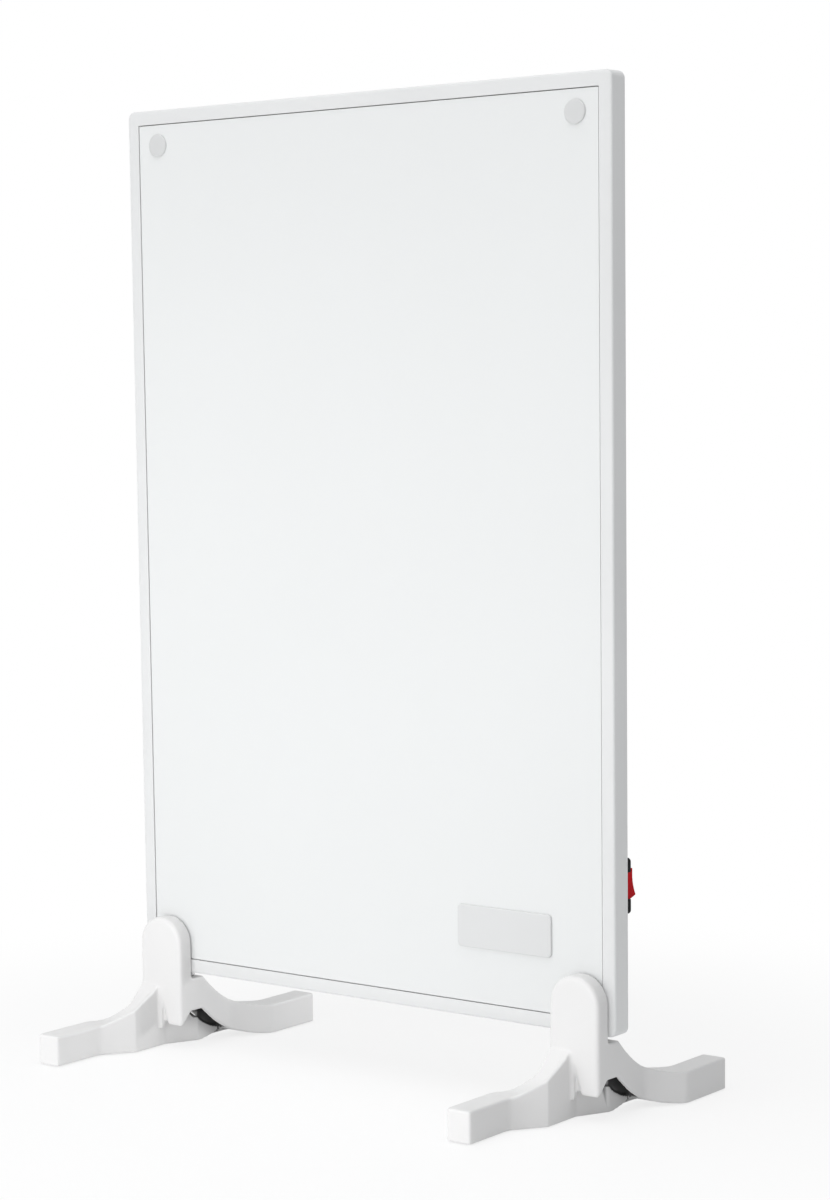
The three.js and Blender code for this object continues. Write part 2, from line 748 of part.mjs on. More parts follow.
// What is open below a leg, from the side
function archSide() {
  const chamfer = apexHeight - tabBottomHeight;
  const shape = new THREE.Shape();
  shape.moveTo(-hubHalfDepth - overrun, -overrun);
  shape.lineTo(archStart, -overrun);
  shape.lineTo(archStart, soleGap);
  shape.quadraticCurveTo((archStart + apexEnd) / 2, soleGap, apexEnd, apexHeight);
  shape.lineTo(-hubHalfDepth + chamfer, apexHeight);
  shape.lineTo(-hubHalfDepth - overrun, tabBottomHeight - overrun);
  shape.closePath();
  return shape;
}

// The tab from the front: a round top, and below the slot only its right-hand half
function tabOutline() {
  const centre = tabTopHeight - hubHalfWidth;
  const shape = new THREE.Shape();
  shape.moveTo(hubHalfWidth, tabBottomHeight);
  shape.lineTo(hubHalfWidth, centre);
  shape.absarc(0, centre, hubHalfWidth, 0, Math.PI);
  shape.lineTo(-hubHalfWidth, frontRiseHeight - tabRootSink);
  shape.lineTo(-innerFace, frontRiseHeight - tabRootSink);
  shape.lineTo(tabNarrowShift, tabBottomHeight);
  shape.closePath();
  return shape;
}

// The hollow at the back of the tab, which the panel covers
function tabHollow() {
  const centre = tabTopHeight - hubHalfWidth;
  const radius = hubHalfWidth - footWall;
  const shape = new THREE.Shape();
  shape.moveTo(radius, panelLift);
  shape.lineTo(radius, centre);
  shape.absarc(0, centre, radius, 0, Math.PI);
  shape.lineTo(-radius, panelLift);
  shape.closePath();
  return facePlate(shape, -hubHalfDepth + tabFace, frontFace + overrun, 0, 0, sweepSteps);
}

function makeTab() {
  const tab = roundedFacePlate(
    tabOutline(), -hubHalfDepth, frontFace - slotGap, tabEdgeRound, 0, 0, sweepSteps);
  const rib = box(-footRib / 2, footRib / 2, -hubHalfDepth + tabFace, frontFace - slotGap,
    panelLift - overrun, tabTopHeight - footWall);
  return tab.subtract(tabHollow()).add(rib);
}

function makeCheek() {
  const height = cheekTopHeight - apexHeight - overrun;
  return facePlate(
    roundedRectangle(hubHalfWidth - innerFace, height, cheekCornerRadius), backFace + slotGap, hubHalfDepth,
    -(hubHalfWidth + innerFace) / 2, cheekTopHeight - height / 2);
}

// A zigzag wall under both legs. It stands on the floor as far as its rear end, which tapers up.
function makeWeb() {
  const plan = polygon([
    [-legOffset + legWidth, -jogInnerStart], [-innerFace, -jogInnerEnd], [-innerFace, -webTurnStart],
    [innerFace + tabNarrowShift, webTurnEnd], [innerFace + tabNarrowShift, webEnd],
    [innerFace + tabNarrowShift - webThickness, webEnd],
    [innerFace + tabNarrowShift - webThickness, webTurnEnd + webThickness / 2],
    [-innerFace - webThickness, -webTurnStart + webThickness / 2], [-innerFace - webThickness, -jogInnerEnd],
    [-legOffset + legWidth - webThickness, -jogInnerStart],
  ]);
  const side = new THREE.Shape();
  side.moveTo(-jogInnerStart, soleGap);
  side.lineTo(webTurnEnd, soleGap);
  side.quadraticCurveTo((webTurnEnd + webEnd) / 2, soleGap, webEnd, webEndHeight - webTipHeight);
  side.lineTo(webEnd, webEndHeight);
  side.quadraticCurveTo(webTurnStart, webEndHeight + webTipHeight, 0, apexHeight + overrun);
  side.lineTo(0, hubCeiling + overrun);
  side.lineTo(-hubHalfDepth, hubCeiling - overrun);
  side.lineTo(-jogInnerStart, legHeight - footWall / 2);
  side.closePath();
  const reach = legOffset + overrun;
  return planPlate(plan, 0, slotFloorHeight).intersect(sidePlate(side, -reach, reach));
}

// Where the ribs cross the rear leg's hollow, from its tip inwards
const legRibPlaces = [footHalfLength - footWall - padLength - footRib, jogInnerStart, jogOuterEnd + footWall];

function makeLegHollow(side) {
  const reach = legOffset + overrun;
  const hollow = planPlate(insetPolygon(rearLegCorners, footWall), -overrun, hubCeiling).intersect(side);
  const ribs = legRibPlaces.map((y) => box(-reach, reach, y, y + footRib, -overrun, slotFloorHeight));
  return cut(hollow, ribs);
}

function makeFoot() {
  const reach = legOffset + overrun;
  const leg = planPlate(roundedPolygon(rearLegCorners), 0, slotFloorHeight);
  const turnRound = [0, 0, 180];
  const rearBeam = leg.intersect(sidePlate(rearSide(legHeight, slotFloorHeight, soleGap), -reach, reach));
  const frontBeam = leg.rotate(turnRound).intersect(
    sidePlate(frontSide(legHeight, frontRiseHeight, slotFloorHeight, soleGap), -reach, reach));
  const arch = sidePlate(archSide(), -innerFace, reach);
  const legCeiling = legHeight - footWall;
  const rearHollow = makeLegHollow(
    sidePlate(rearSide(legCeiling, hubCeiling, -overrun), -reach, reach));
  const frontHollow = makeLegHollow(
    sidePlate(frontSide(legCeiling, frontRiseHeight - footWall, hubCeiling, -overrun), -reach, reach)
      .rotate(turnRound)).rotate(turnRound);
  const shell = union([
    makeTab().add(rearBeam).subtract(arch),
    frontBeam.subtract(arch.rotate(turnRound)),
    makeCheek(),
  ]);
  const screwPlaces = [-footScrewOffset, footScrewOffset];
  const wellRadius = footScrewHeadRadius + footScrewClearance;
  const towers = screwPlaces.map((x) =>
    uprightBar(wellRadius + screwTowerWall, apexHeight, hubCeiling + overrun, x, 0));
  const shanks = screwPlaces.map((x) =>
    uprightBar(footScrewRadius + footScrewClearance, 0, slotFloorHeight + overrun, x, 0, smallRoundSteps));
  const wells = screwPlaces.map((x) => uprightBar(wellRadius, 0, hubCeiling, x, 0));
  return cut(union([cut(shell, [rearHollow, frontHollow]), makeWeb(), ...towers]), [...shanks, ...wells]);
}

// Each pad fills the last cell of a leg and stands a little proud of it
function makePad(end) {
  const x = end * (legOffset - legWidth / 2);
  const half = legWidth / 2 - footWall - padGap;
  const outer = footHalfLength - footWall - padGap;
  const middle = end * (outer - (padLength - 2 * padGap) / 2);
  const halfLength = padLength / 2 - padGap;
  return box(x - half, x + half, middle - halfLength, middle + halfLength, 0, padThickness);
}

function makeFootScrew(x) {
  const floor = hubCeiling - sheetGap;
  const head = floor - footScrewHeadHeight;
  const geometry = new THREE.LatheGeometry([
    [0, head + footScrewHeadHeight / 2], [footScrewRadius, head + footScrewHeadHeight / 2],
    [footScrewRadius, head], [footScrewHeadRadius, head], [footScrewHeadRadius, floor],
    [footScrewRadius, floor], [footScrewRadius, floor + footScrewLength - footScrewRadius],
    [0, floor + footScrewLength],
  ].map(([radius, z]) => new THREE.Vector2(radius, z)), smallRoundSteps);
  geometry.rotateX(Math.PI / 2);
  geometry.translate(x, 0, 0);
  return solid(geometry);
}

function makeCushion() {
  return box(-cushionWidth / 2, cushionWidth / 2, -cushionDepth / 2, cushionDepth / 2,
    slotFloorHeight, panelLift - cushionGap);
}

// Inner leads run in the bay. Each turns at the corners listed: in front of the switch body they lie
// midway between it and the board, and at the track they lie on the board.

function at(x, y, z) {
  return new THREE.Vector3(x, y, z);
}

const bodyTop = switchZ + bodyHeight / 2;
const spadeReach = spadeWidth / 2 + leadGap;
const switchLayer = (boardBack + bodyFront) / 2;
const trackLayer = boardBack + fitGap + leadRadius;
const poleLayer = bayFace + blockDepth / 2;
const tabLayer = bayFace + cutoutBodyDepth - 2 * cutoutTabThickness + cutoutTabThickness / 2;
const tabEnd = cutoutBodyRadius + cutoutTabLength + leadGap;
const belowBlock = blockZ - blockHeight / 2 - leadBend;
const aboveBlock = blockZ + blockHeight / 2 + leadBend;
const feedX = switchX - bodyWidth / 2 - leadGap - leadRadius;
const loadX = halfWidth - frameWall - leadGap - leadRadius;
const rightOfBlock = (bayX + blockWidth / 2 + halfWidth - frameWall) / 2;
const leftOfBlock = (bayX - blockWidth / 2 + stackWidth / 2) / 2;
const trackEdge = trackWidth / 2 + leadGap;

// Live, from the terminal block down to the switch's upper spade
const switchFeedRoute = [
  at(bayX + blockPoleOffset, poleLayer, blockZ),
  at(bayX + blockPoleOffset, poleLayer, belowBlock),
  at(feedX, switchLayer, bodyTop + leadBend),
  at(feedX, switchLayer, switchZ + spadeOffset),
  at(switchX - spadeReach, switchLayer, switchZ + spadeOffset),
];

// From the switch's lower spade up past the block to the cut-out
const switchLoadRoute = [
  at(switchX + spadeReach, switchLayer, switchZ - spadeOffset),
  at(loadX, switchLayer, switchZ - spadeOffset),
  at(loadX, switchLayer, bodyTop + leadBend),
  at(rightOfBlock, poleLayer, belowBlock),
  at(rightOfBlock, poleLayer, aboveBlock),
  at(bayX, tabLayer, cutoutZ - tabEnd - 2 * leadBend),
  at(bayX, tabLayer, cutoutZ - tabEnd),
];

// From the cut-out over to the left and down to the track's upper lead
const trackLiveRoute = [
  at(bayX, tabLayer, cutoutZ + tabEnd),
  at(bayX, tabLayer, cutoutZ + tabEnd + 2 * leadBend),
  at(leftOfBlock, tabLayer, cutoutZ + tabEnd + 2 * leadBend),
  at(leftOfBlock, poleLayer, aboveBlock),
  at(leftOfBlock, trackLayer, returnLeadZ + trackEdge + 2 * leadBend),
  at(leftOfBlock, trackLayer, returnLeadZ + trackEdge),
];

// Neutral, from the terminal block past the upper lead to the track's lower one
const trackNeutralRoute = [
  at(bayX - blockPoleOffset, poleLayer, blockZ),
  at(bayX - blockPoleOffset, poleLayer, belowBlock),
  at(bayX - blockPoleOffset, trackLayer, returnLeadZ - trackEdge),
  at(leftOfBlock, trackLayer, trackBottom + trackEdge + 2 * leadBend),
  at(leftOfBlock, trackLayer, trackBottom + trackEdge),
];

place(panelGroup, "front_frame", makeFrame(), whiteMoulding);
place(panelGroup, "front_board", makeBoard(), whiteBoard);
place(panelGroup, "fixing_cap_left", makeCap(-fixingX), whiteMoulding);
place(panelGroup, "fixing_cap_right", makeCap(fixingX), whiteMoulding);
place(panelGroup, "fixing_sleeve_left", makeSleeve(-fixingX), steel);
place(panelGroup, "fixing_sleeve_right", makeSleeve(fixingX), steel);
place(panelGroup, "blank_plate", makePlate(), whiteMoulding);
place(panelGroup, "heating_track", makeTrack(), track);
place(panelGroup, "carrier_sheet", makeSheet(carrierFace, carrierThickness), mica);
place(panelGroup, "reflector_foil", makeSheet(foilFace, foilThickness), foil);
place(panelGroup, "insulation_blanket", makeSheet(woolFace, coverFace - sheetGap - woolFace), wool);
place(panelGroup, "back_cover", makeBackCover(), coatedSteel);
postPlaces.forEach(([x, z], index) => {
  place(panelGroup, `cover_screw_${index + 1}`, makeCoverScrew(x, z), steel);
});
place(panelGroup, "switch_housing", makeSwitchHousing(), blackMoulding);
place(panelGroup, "switch_rocker", makeRocker(), redRocker);
place(panelGroup, "switch_contact", makeContact(), brass);
place(panelGroup, "switch_spade_upper", makeSpade(spadeOffset), brass);
place(panelGroup, "switch_spade_lower", makeSpade(-spadeOffset), brass);
place(panelGroup, "thermal_cutout", makeCutout(), blackMoulding);
place(panelGroup, "terminal_block", makeBlock(), ceramic);
place(panelGroup, "terminal_pole_live", makePole(blockPoleOffset), brass);
place(panelGroup, "terminal_pole_neutral", makePole(-blockPoleOffset), brass);
place(panelGroup, "cord_inlet", makeInlet(), blackMoulding);
place(panelGroup, "lead_switch_feed", leadAlong(switchFeedRoute), redLead);
place(panelGroup, "lead_switch_load", leadAlong(switchLoadRoute), redLead);
place(panelGroup, "lead_track_live", leadAlong(trackLiveRoute), redLead);
place(panelGroup, "lead_track_neutral", leadAlong(trackNeutralRoute), blueLead);

[-1, 1].forEach((side) => {
  const name = side < 0 ? "left" : "right";
  const footGroup = new THREE.Group();
  footGroup.position.x = side * footSpacing / 2;
  heater.add(footGroup);
  place(footGroup, `${name}_foot`, makeFoot(), whiteFoot);
  place(footGroup, `${name}_foot_pad_rear`, makePad(1), rubber);
  place(footGroup, `${name}_foot_pad_front`, makePad(-1), rubber);
  place(footGroup, `${name}_foot_screw_outer`, makeFootScrew(side * footScrewOffset), steel);
  place(footGroup, `${name}_foot_screw_inner`, makeFootScrew(-side * footScrewOffset), steel);
  place(footGroup, `${name}_slot_cushion`, makeCushion(), rubber);
});

export default heater;
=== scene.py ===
import math

import bmesh
import bpy
from bpy.props import FloatProperty, FloatVectorProperty, IntProperty, PointerProperty
from mathutils import Matrix, Vector
from mathutils.bvhtree import BVHTree


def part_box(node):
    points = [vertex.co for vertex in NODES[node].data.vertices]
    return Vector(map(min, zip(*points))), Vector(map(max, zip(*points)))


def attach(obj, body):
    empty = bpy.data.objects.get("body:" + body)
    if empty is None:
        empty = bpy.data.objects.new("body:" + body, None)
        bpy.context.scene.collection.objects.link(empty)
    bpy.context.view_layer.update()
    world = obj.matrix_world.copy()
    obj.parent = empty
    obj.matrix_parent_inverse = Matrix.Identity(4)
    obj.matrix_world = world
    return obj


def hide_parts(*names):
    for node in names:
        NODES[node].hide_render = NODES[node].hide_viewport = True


bl_info = {
    "name": "Panel heater",
    "version": (1, 0, 0),
    "blender": (4, 5, 0),
    "location": "3D View > Sidebar > Heater",
    "description": "Dresses the packed panel heater with its finished surfaces",
    "category": "Object",
}

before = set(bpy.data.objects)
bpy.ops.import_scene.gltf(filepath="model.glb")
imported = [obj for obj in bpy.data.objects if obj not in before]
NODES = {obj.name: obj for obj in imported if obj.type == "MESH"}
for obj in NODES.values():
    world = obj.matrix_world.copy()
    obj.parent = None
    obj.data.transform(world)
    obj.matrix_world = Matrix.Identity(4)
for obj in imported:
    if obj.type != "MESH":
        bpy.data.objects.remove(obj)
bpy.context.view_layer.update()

MM = 0.001
WELD = 0.001 * MM
SHARP = math.radians(40)
WHITE = (1.0, 1.0, 1.0, 1.0)
ZINC = (0.62, 0.63, 0.64)
FOOT_SCREWS = ("left_foot_screw", "right_foot_screw")

# The board: the dark colour behind its face, painted shade that darkens the joint to the surround,
# and how deep the coat on its face reaches
BOARD_JOINT_SHADE = (0.15, 0.145, 0.135)
COAT_DEPTH = 0.5 * MM

# The surround: its small edges, and the gaps to the pieces that it holds
CRISP_EDGE = 0.2 * MM
BACK_EDGE = 0.5 * MM
COVER_GAP = 0.1 * MM
BOARD_GAP = 0.2 * MM
TIP_GAP = 0.3 * MM
POST_ROOT = 1.0 * MM
BORE_SPARE = 2.0 * MM

# The caps' faces as shares of their radius, and their rims as shares of the rim's own radius
DOME_SHARES = (0, 0.3, 0.6, 0.8)
RIM_SHARES = ((1.0, 0.0), (0.5, 0.15), (0.15, 0.5), (0.0, 1.0))
SMALLEST_CORNER = 0.6 * MM

# The screws: points round and across a head, its rise as a share of its radius, its height as
# a share of its rise, and the ends of the thread as shares of the thread's radius
SCREW_TURNS = 48
HEAD_RINGS = 12
HEAD_RISE = 0.35
HEAD_CURVE = 2.5
HEAD_SIDE = 1.6
THREAD_ROOT = 0.82
THREAD_END = 2.5
TIP_SHARE = 0.7

# The switch: what is cut away, measured from the middle of its housing
MOUTH_HALF = 9.0 * MM
MOUTH_BELOW, MOUTH_ABOVE = 8.4 * MM, 8.8 * MM
WALL_LEFT = 0.9 * MM
KEY_HALF = 5.1 * MM
CUT_PAST = 1.0 * MM

# The feet: two corners of the thin wall across each, measured from the foot's middle. The wall
# closes the hollow under the arch, and painted shade darkens it
SCREEN_CORNERS = ((3.0 * MM, 12.0 * MM, 1.5 * MM), (5.5 * MM, 50.0 * MM, 21.0 * MM))
# How dark the painted shade inside the feet is, as a share of their colour
FOOT_SHADE_TONE = 0.1

# How deep inside a foot a point lies, from the rays that leave it and what they meet. The feet's
# colour is darkened there as painted shade
RAYS = 24
RAY_START = 0.1 * MM
GRAZING = 0.1
INSIDE_REACH = 60.0 * MM
INSIDE_FROM, INSIDE_SPAN = 0.68, 0.25
CELL_WAYS = [Vector(way) for way in ((1, 0, 0), (-1, 0, 0), (0, 1, 0), (0, -1, 0), (0, 0, 1))]
CELL_SIDES = 4
CELL_SHARE = 0.45
CELL_OFFSET = 5.0 * MM

# The stage. A lamp has a place, what it points at, a size and a power in watts
SKY_COLOUR = (0.97, 0.985, 1.0, 1.0)
SKY_STRENGTH = 0.47
FLOOR_REACH = 6.0
FLOOR_GAP = 0.2 * MM
FADE_START, FADE_END, FADE_LEAST = 0.2, 0.62, 0.78
SENSOR_HEIGHT = 36.0
LAMPS = {
    "key_lamp": ((-0.2, -1.0, 0.2), (0.0, 0.0, 0.22), (0.9, 0.5), 3.9),
    "top_lamp": ((0.1, -0.8, 2.4), (0.0, 0.0, 0.0), (2.0, 2.0), 26.0),
    "feet_lamp": ((0.0, -1.4, 0.12), (0.0, 0.0, 0.05), (0.8, 0.3), 3.0),
    "left_foot_lamp": ((0.12, 0.3, 0.12), (-0.15, 0.05, 0.02), (0.15, 0.1), 0.5),
    "rear_lamp": ((-0.5, 1.6, 1.2), (0.0, 0.0, 0.35), (1.2, 1.0), 15.0),
}


# Sizes and colours


class HeaterColours(bpy.types.PropertyGroup):
    """Colours of the mouldings, the coats and the floor"""
    board: FloatVectorProperty(
        name="Board", description="Matt face of the front board", subtype="COLOR", size=3,
        default=(0.80, 0.81, 0.808))
    moulding: FloatVectorProperty(
        name="Surround", description="Satin border and side walls", subtype="COLOR", size=3,
        default=(0.765, 0.77, 0.77))
    caps: FloatVectorProperty(
        name="Caps", description="Satin fixing caps", subtype="COLOR", size=3,
        default=(0.665, 0.67, 0.67))
    plate: FloatVectorProperty(
        name="Plate", description="Bare plate on the board", subtype="COLOR", size=3,
        default=(0.71, 0.715, 0.715))
    foot: FloatVectorProperty(
        name="Feet", description="Satin moulding of both feet", subtype="COLOR", size=3,
        default=(0.735, 0.73, 0.727))
    steel_coat: FloatVectorProperty(
        name="Rear cover", description="Powder coat of the rear cover", subtype="COLOR", size=3,
        default=(0.70, 0.71, 0.71))
    rocker: FloatVectorProperty(
        name="Rocker", description="Red of the switch rocker", subtype="COLOR", size=3,
        default=(0.52, 0.0, 0.006))
    floor: FloatVectorProperty(
        name="Floor", description="Pale floor under the heater", subtype="COLOR", size=3,
        default=(0.93, 0.93, 0.93))


class HeaterSizes(bpy.types.PropertyGroup):
    """Edges, walls and steps that the shaped pieces are made with"""
    foot_step: FloatProperty(
        name="Foot step", description="Mesh step that the soft form of the feet is worked in",
        unit="LENGTH", default=0.8 * MM, min=0.4 * MM, max=2.0 * MM)
    foot_rounds: IntProperty(
        name="Foot rounding", description="How many times the edges of the feet are eased",
        default=8, min=0, max=30)
    switch_step: FloatProperty(
        name="Switch step", description="Mesh step that the soft form of the switch is worked in",
        unit="LENGTH", default=0.28 * MM, min=0.2 * MM, max=1.0 * MM)
    frame_edge: FloatProperty(
        name="Surround edge", description="Radius of the surround's outer front edge",
        unit="LENGTH", default=1.6 * MM, min=0.5 * MM, max=2.4 * MM)
    frame_border: FloatProperty(
        name="Surround border", description="Width of the border round the board", unit="LENGTH",
        default=9.6 * MM)
    frame_lip: FloatProperty(
        name="Surround lip", description="Thickness of the border",
        unit="LENGTH", default=2.4 * MM)
    frame_wall: FloatProperty(
        name="Surround wall", description="Thickness of the side walls", unit="LENGTH",
        default=2.2 * MM)
    frame_corner: FloatProperty(
        name="Surround corner", description="Radius of the outer corners", unit="LENGTH",
        default=5.0 * MM)
    frame_inner_corner: FloatProperty(
        name="Opening corner", description="Radius of the opening's corners", unit="LENGTH",
        default=0.8 * MM)
    post_radius: FloatProperty(
        name="Post radius", description="Radius of the posts under the cover screws",
        unit="LENGTH", default=3.4 * MM)
    post_bore: FloatProperty(
        name="Post bore", description="Radius of the bore in a post",
        unit="LENGTH", default=1.5 * MM)
    boss_width: FloatProperty(
        name="Boss width", description="Width of a block that a foot screw bites into",
        unit="LENGTH", default=9.0 * MM)
    boss_height: FloatProperty(
        name="Boss height", description="Height of a block that a foot screw bites into",
        unit="LENGTH", default=14.0 * MM)
    boss_bore: FloatProperty(
        name="Boss bore", description="Radius of the bore for a foot screw", unit="LENGTH",
        default=2.1 * MM)
    cap_height: FloatProperty(
        name="Cap height", description="Thickness of a cap's disc",
        unit="LENGTH", default=1.5 * MM)
    cap_rim: FloatProperty(
        name="Cap rim", description="Radius along a cap's rim", unit="LENGTH", default=0.7 * MM)
    cap_dome: FloatProperty(
        name="Cap dome", description="Rise of a cap's face", unit="LENGTH", default=0.25 * MM)
    cap_stem: FloatProperty(
        name="Cap stem", description="Radius of a cap's stem", unit="LENGTH", default=4.2 * MM)
    cap_wall: FloatProperty(
        name="Cap wall", description="Wall of a cap's stem", unit="LENGTH", default=1.0 * MM)
    plate_edge: FloatProperty(
        name="Plate edge", description="Radius along the plate's edge",
        unit="LENGTH", default=0.6 * MM)
    plate_corner: FloatProperty(
        name="Plate corner", description="Radius of the plate's corners", unit="LENGTH",
        default=3.0 * MM)
    rubber_edge: FloatProperty(
        name="Rubber edge", description="Radius along the edges of the pads and cushions",
        unit="LENGTH", default=0.5 * MM)
    block_edge: FloatProperty(
        name="Block edge", description="Radius along the edges of the block and the cut-out",
        unit="LENGTH", default=0.35 * MM)
    brass_edge: FloatProperty(
        name="Brass edge", description="Radius along the edges of the stamped brass",
        unit="LENGTH", default=0.12 * MM)
    screw_pitch: FloatProperty(
        name="Screw pitch", description="Pitch of the screws' threads",
        unit="LENGTH", default=1.1 * MM)
    screw_shank: FloatProperty(
        name="Screw shank", description="Shank radius as a share of the head's", subtype="FACTOR",
        default=0.48, min=0.2, max=0.8)


class CameraSizes(bpy.types.PropertyGroup):
    """Where the camera stands and how it looks"""
    azimuth: FloatProperty(
        name="Azimuth", description="Turn of the camera to the heater's right", subtype="ANGLE",
        default=math.radians(37.46))
    elevation: FloatProperty(
        name="Elevation", description="How far the camera looks down", subtype="ANGLE",
        default=math.radians(6.39))
    roll: FloatProperty(
        name="Roll", description="Turn of the camera about its own axis", subtype="ANGLE",
        default=math.radians(-0.69))
    place: FloatVectorProperty(
        name="Place", description="Where the camera stands", subtype="TRANSLATION", size=3,
        default=(1.1608, -1.4649, 0.4652))
    lens: FloatProperty(
        name="Lens", description="Focal length on a 36 mm tall frame, in millimetres",
        default=84.636, min=10.0)
    rise: FloatProperty(
        name="Rise", description="Upward shift of the view, as a share of its height",
        subtype="FACTOR", default=0.0833)


# Small helpers for meshes


def colours():
    return bpy.context.scene.heater_colours


def sizes():
    return bpy.context.scene.heater_sizes


def nodes_starting(*starts):
    return [name for name in NODES if name.startswith(starts)]


def node_middle(node):
    low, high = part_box(node)
    return (low + high) / 2


def new_object(name, data):
    item = bpy.data.objects.new(name, data)
    bpy.context.collection.objects.link(item)
    return item


def mesh_of(name, shape):
    """Turns worked faces into a mesh."""
    mesh = bpy.data.meshes.new(name)
    shape.to_mesh(mesh)
    shape.free()
    return mesh


def close_mesh(name, shape, sharp=SHARP):
    """Turns worked faces into an object, smooth but for its sharp edges."""
    bmesh.ops.remove_doubles(shape, verts=shape.verts, dist=WELD)
    bmesh.ops.recalc_face_normals(shape, faces=shape.faces)
    mesh = mesh_of(name, shape)
    mesh.shade_smooth()
    mesh.set_sharp_from_angle(angle=sharp)
    return new_object(name, mesh)


def add_modifier(item, kind, **settings):
    modifier = item.modifiers.new(kind.lower(), kind)
    for key, value in settings.items():
        setattr(modifier, key, value)


def apply_modifiers(item):
    """Bakes the modifiers into the mesh, and removes the objects that they cut or join with."""
    view = bpy.context.evaluated_depsgraph_get()
    shaped = bpy.data.meshes.new_from_object(item.evaluated_get(view))
    tools = [modifier.object for modifier in item.modifiers if modifier.type == "BOOLEAN"]
    item.modifiers.clear()
    item.data = shaped
    for tool in tools:
        bpy.data.objects.remove(tool)


def put_in_place(item, node, body, finish):
    """Gives a finished piece the place, body and finish of the node that it stands for."""
    item.data.materials.clear()
    item.data.materials.append(finish)
    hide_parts(node)
    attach(item, body)


def add_box(shape, low, high):
    """Adds a closed box between two corners."""
    size = Vector(high) - Vector(low)
    middle = (Vector(high) + Vector(low)) / 2
    place = Matrix.Translation(middle) @ Matrix.Diagonal((*size, 1.0))
    bmesh.ops.create_cube(shape, size=1.0, matrix=place)


def shape_of(node):
    """The form of a node, with its points welded."""
    shape = bmesh.new()
    shape.from_mesh(NODES[node].data)
    bmesh.ops.remove_doubles(shape, verts=shape.verts, dist=WELD)
    return shape


def eased_copy(name, node, step, rounds, keep, walls=(), cuts=()):
    """The form of a node, with boxes added and cut away, and with every edge and inner corner
    eased, as a mould leaves them."""
    shape = shape_of(node)
    for low, high in walls:
        add_box(shape, low, high)
    item = new_object(name, mesh_of(name, shape))
    for low, high in cuts:
        box = bmesh.new()
        add_box(box, low, high)
        cutter = new_object("cutter", mesh_of("cutter", box))
        add_modifier(item, "BOOLEAN", operation="DIFFERENCE", object=cutter)
    add_modifier(item, "REMESH", mode="VOXEL", voxel_size=step, use_smooth_shade=True)
    add_modifier(item, "SMOOTH", factor=0.5, iterations=rounds)
    add_modifier(item, "DECIMATE", decimate_type="COLLAPSE", ratio=keep)
    apply_modifiers(item)
    return item


def bevelled_copy(name, node, width):
    """The form of a node with its sharp edges rounded, for small pieces with straight sides."""
    shape = shape_of(node)
    bmesh.ops.dissolve_limit(
        shape, angle_limit=math.radians(1), verts=shape.verts, edges=shape.edges)
    mesh = mesh_of(name, shape)
    mesh.shade_smooth()
    item = new_object(name, mesh)
    add_modifier(
        item, "BEVEL", width=width, segments=3, limit_method="ANGLE", harden_normals=True)
    apply_modifiers(item)
    return item


def even_ways(count):
    """Directions spread evenly over a ball."""
    ways = []
    for index in range(count):
        rise = 1.0 - 2.0 * (index + 0.5) / count
        turn = index * math.pi * (3.0 - math.sqrt(5.0))
        flat = math.sqrt(1.0 - rise * rise)
        ways.append(Vector((flat * math.cos(turn), flat * math.sin(turn), rise)))
    return ways


def blocked(tree, start, ways, reach):
    """How many of the ways from a point run into the form."""
    return sum(tree.ray_cast(start, way, reach)[0] is not None for way in ways)


def mark_shade_depth(item, middle, reach):
    """Stores how far each point lies inside the form, from how many ways out of it are blocked.
    In the cells under the legs a point is walled in on most sides and counts as wholly inside. The
    feet's colour is darkened by this store, as painted shade."""
    mesh = item.data
    tree = BVHTree.FromPolygons([v.co for v in mesh.vertices], [p.vertices for p in mesh.polygons])
    ways = even_ways(RAYS)
    marks = mesh.attributes.new("inside", "FLOAT", "POINT")
    for vertex in mesh.vertices:
        start = vertex.co + vertex.normal * RAY_START
        open_ways = [way for way in ways if way.dot(vertex.normal) > GRAZING]
        share = blocked(tree, start, open_ways, reach) / max(len(open_ways), 1)
        sides = blocked(tree, start, CELL_WAYS, reach)
        off_centre = (vertex.co.x - middle) * (1.0 if vertex.co.y > 0.0 else -1.0)
        if sides >= CELL_SIDES and share > CELL_SHARE and off_centre > CELL_OFFSET:
            depth = 1.0
        else:
            depth = min(max((share - INSIDE_FROM) / INSIDE_SPAN, 0.0), 1.0)
        marks.data[vertex.index].value = depth


def quarter_turn(inset, depth, radius, first, last, steps):
    """Points of an eased edge, as (inset, depth), about a centre."""
    turns = [math.radians(first + (last - first) * step / steps) for step in range(steps + 1)]
    return [(inset + radius * math.cos(turn), depth + radius * math.sin(turn)) for turn in turns]


def rounded_outline(width, height, corner, steps=8):
    """A rectangle with round corners, as (across, up) points in order."""
    points = []
    centres = ((1, 1, 0), (-1, 1, 90), (-1, -1, 180), (1, -1, 270))
    for side, end, start in centres:
        for step in range(steps + 1):
            turn = math.radians(start + 90 * step / steps)
            points.append((
                side * (width / 2 - corner) + corner * math.cos(turn),
                end * (height / 2 - corner) + corner * math.sin(turn)))
    return points


def band(shape, loops, centre, closed):
    """Joins rounded outlines, each (width, height, corner, depth), into one skin about a point."""
    rings = []
    for width, height, corner, depth in loops:
        rings.append([
            shape.verts.new((centre.x + across, depth, centre.z + up))
            for across, up in rounded_outline(width, height, corner)])
    pairs = list(zip(rings, rings[1:]))
    if closed:
        pairs.append((rings[-1], rings[0]))
    for one, other in pairs:
        for index in range(len(one)):
            after = (index + 1) % len(one)
            shape.faces.new((one[index], one[after], other[after], other[index]))
    if not closed:
        shape.faces.new(rings[0])
        shape.faces.new(rings[-1])


def ring_of(shape, radius, depth, centre, steps):
    """Points round an axis that runs from front to back, or a single point on it."""
    if radius < WELD:
        return [shape.verts.new((centre.x, depth, centre.z))]
    turns = [math.tau * step / steps for step in range(steps)]
    return [
        shape.verts.new(
            (centre.x + radius * math.cos(turn), depth, centre.z + radius * math.sin(turn)))
        for turn in turns]


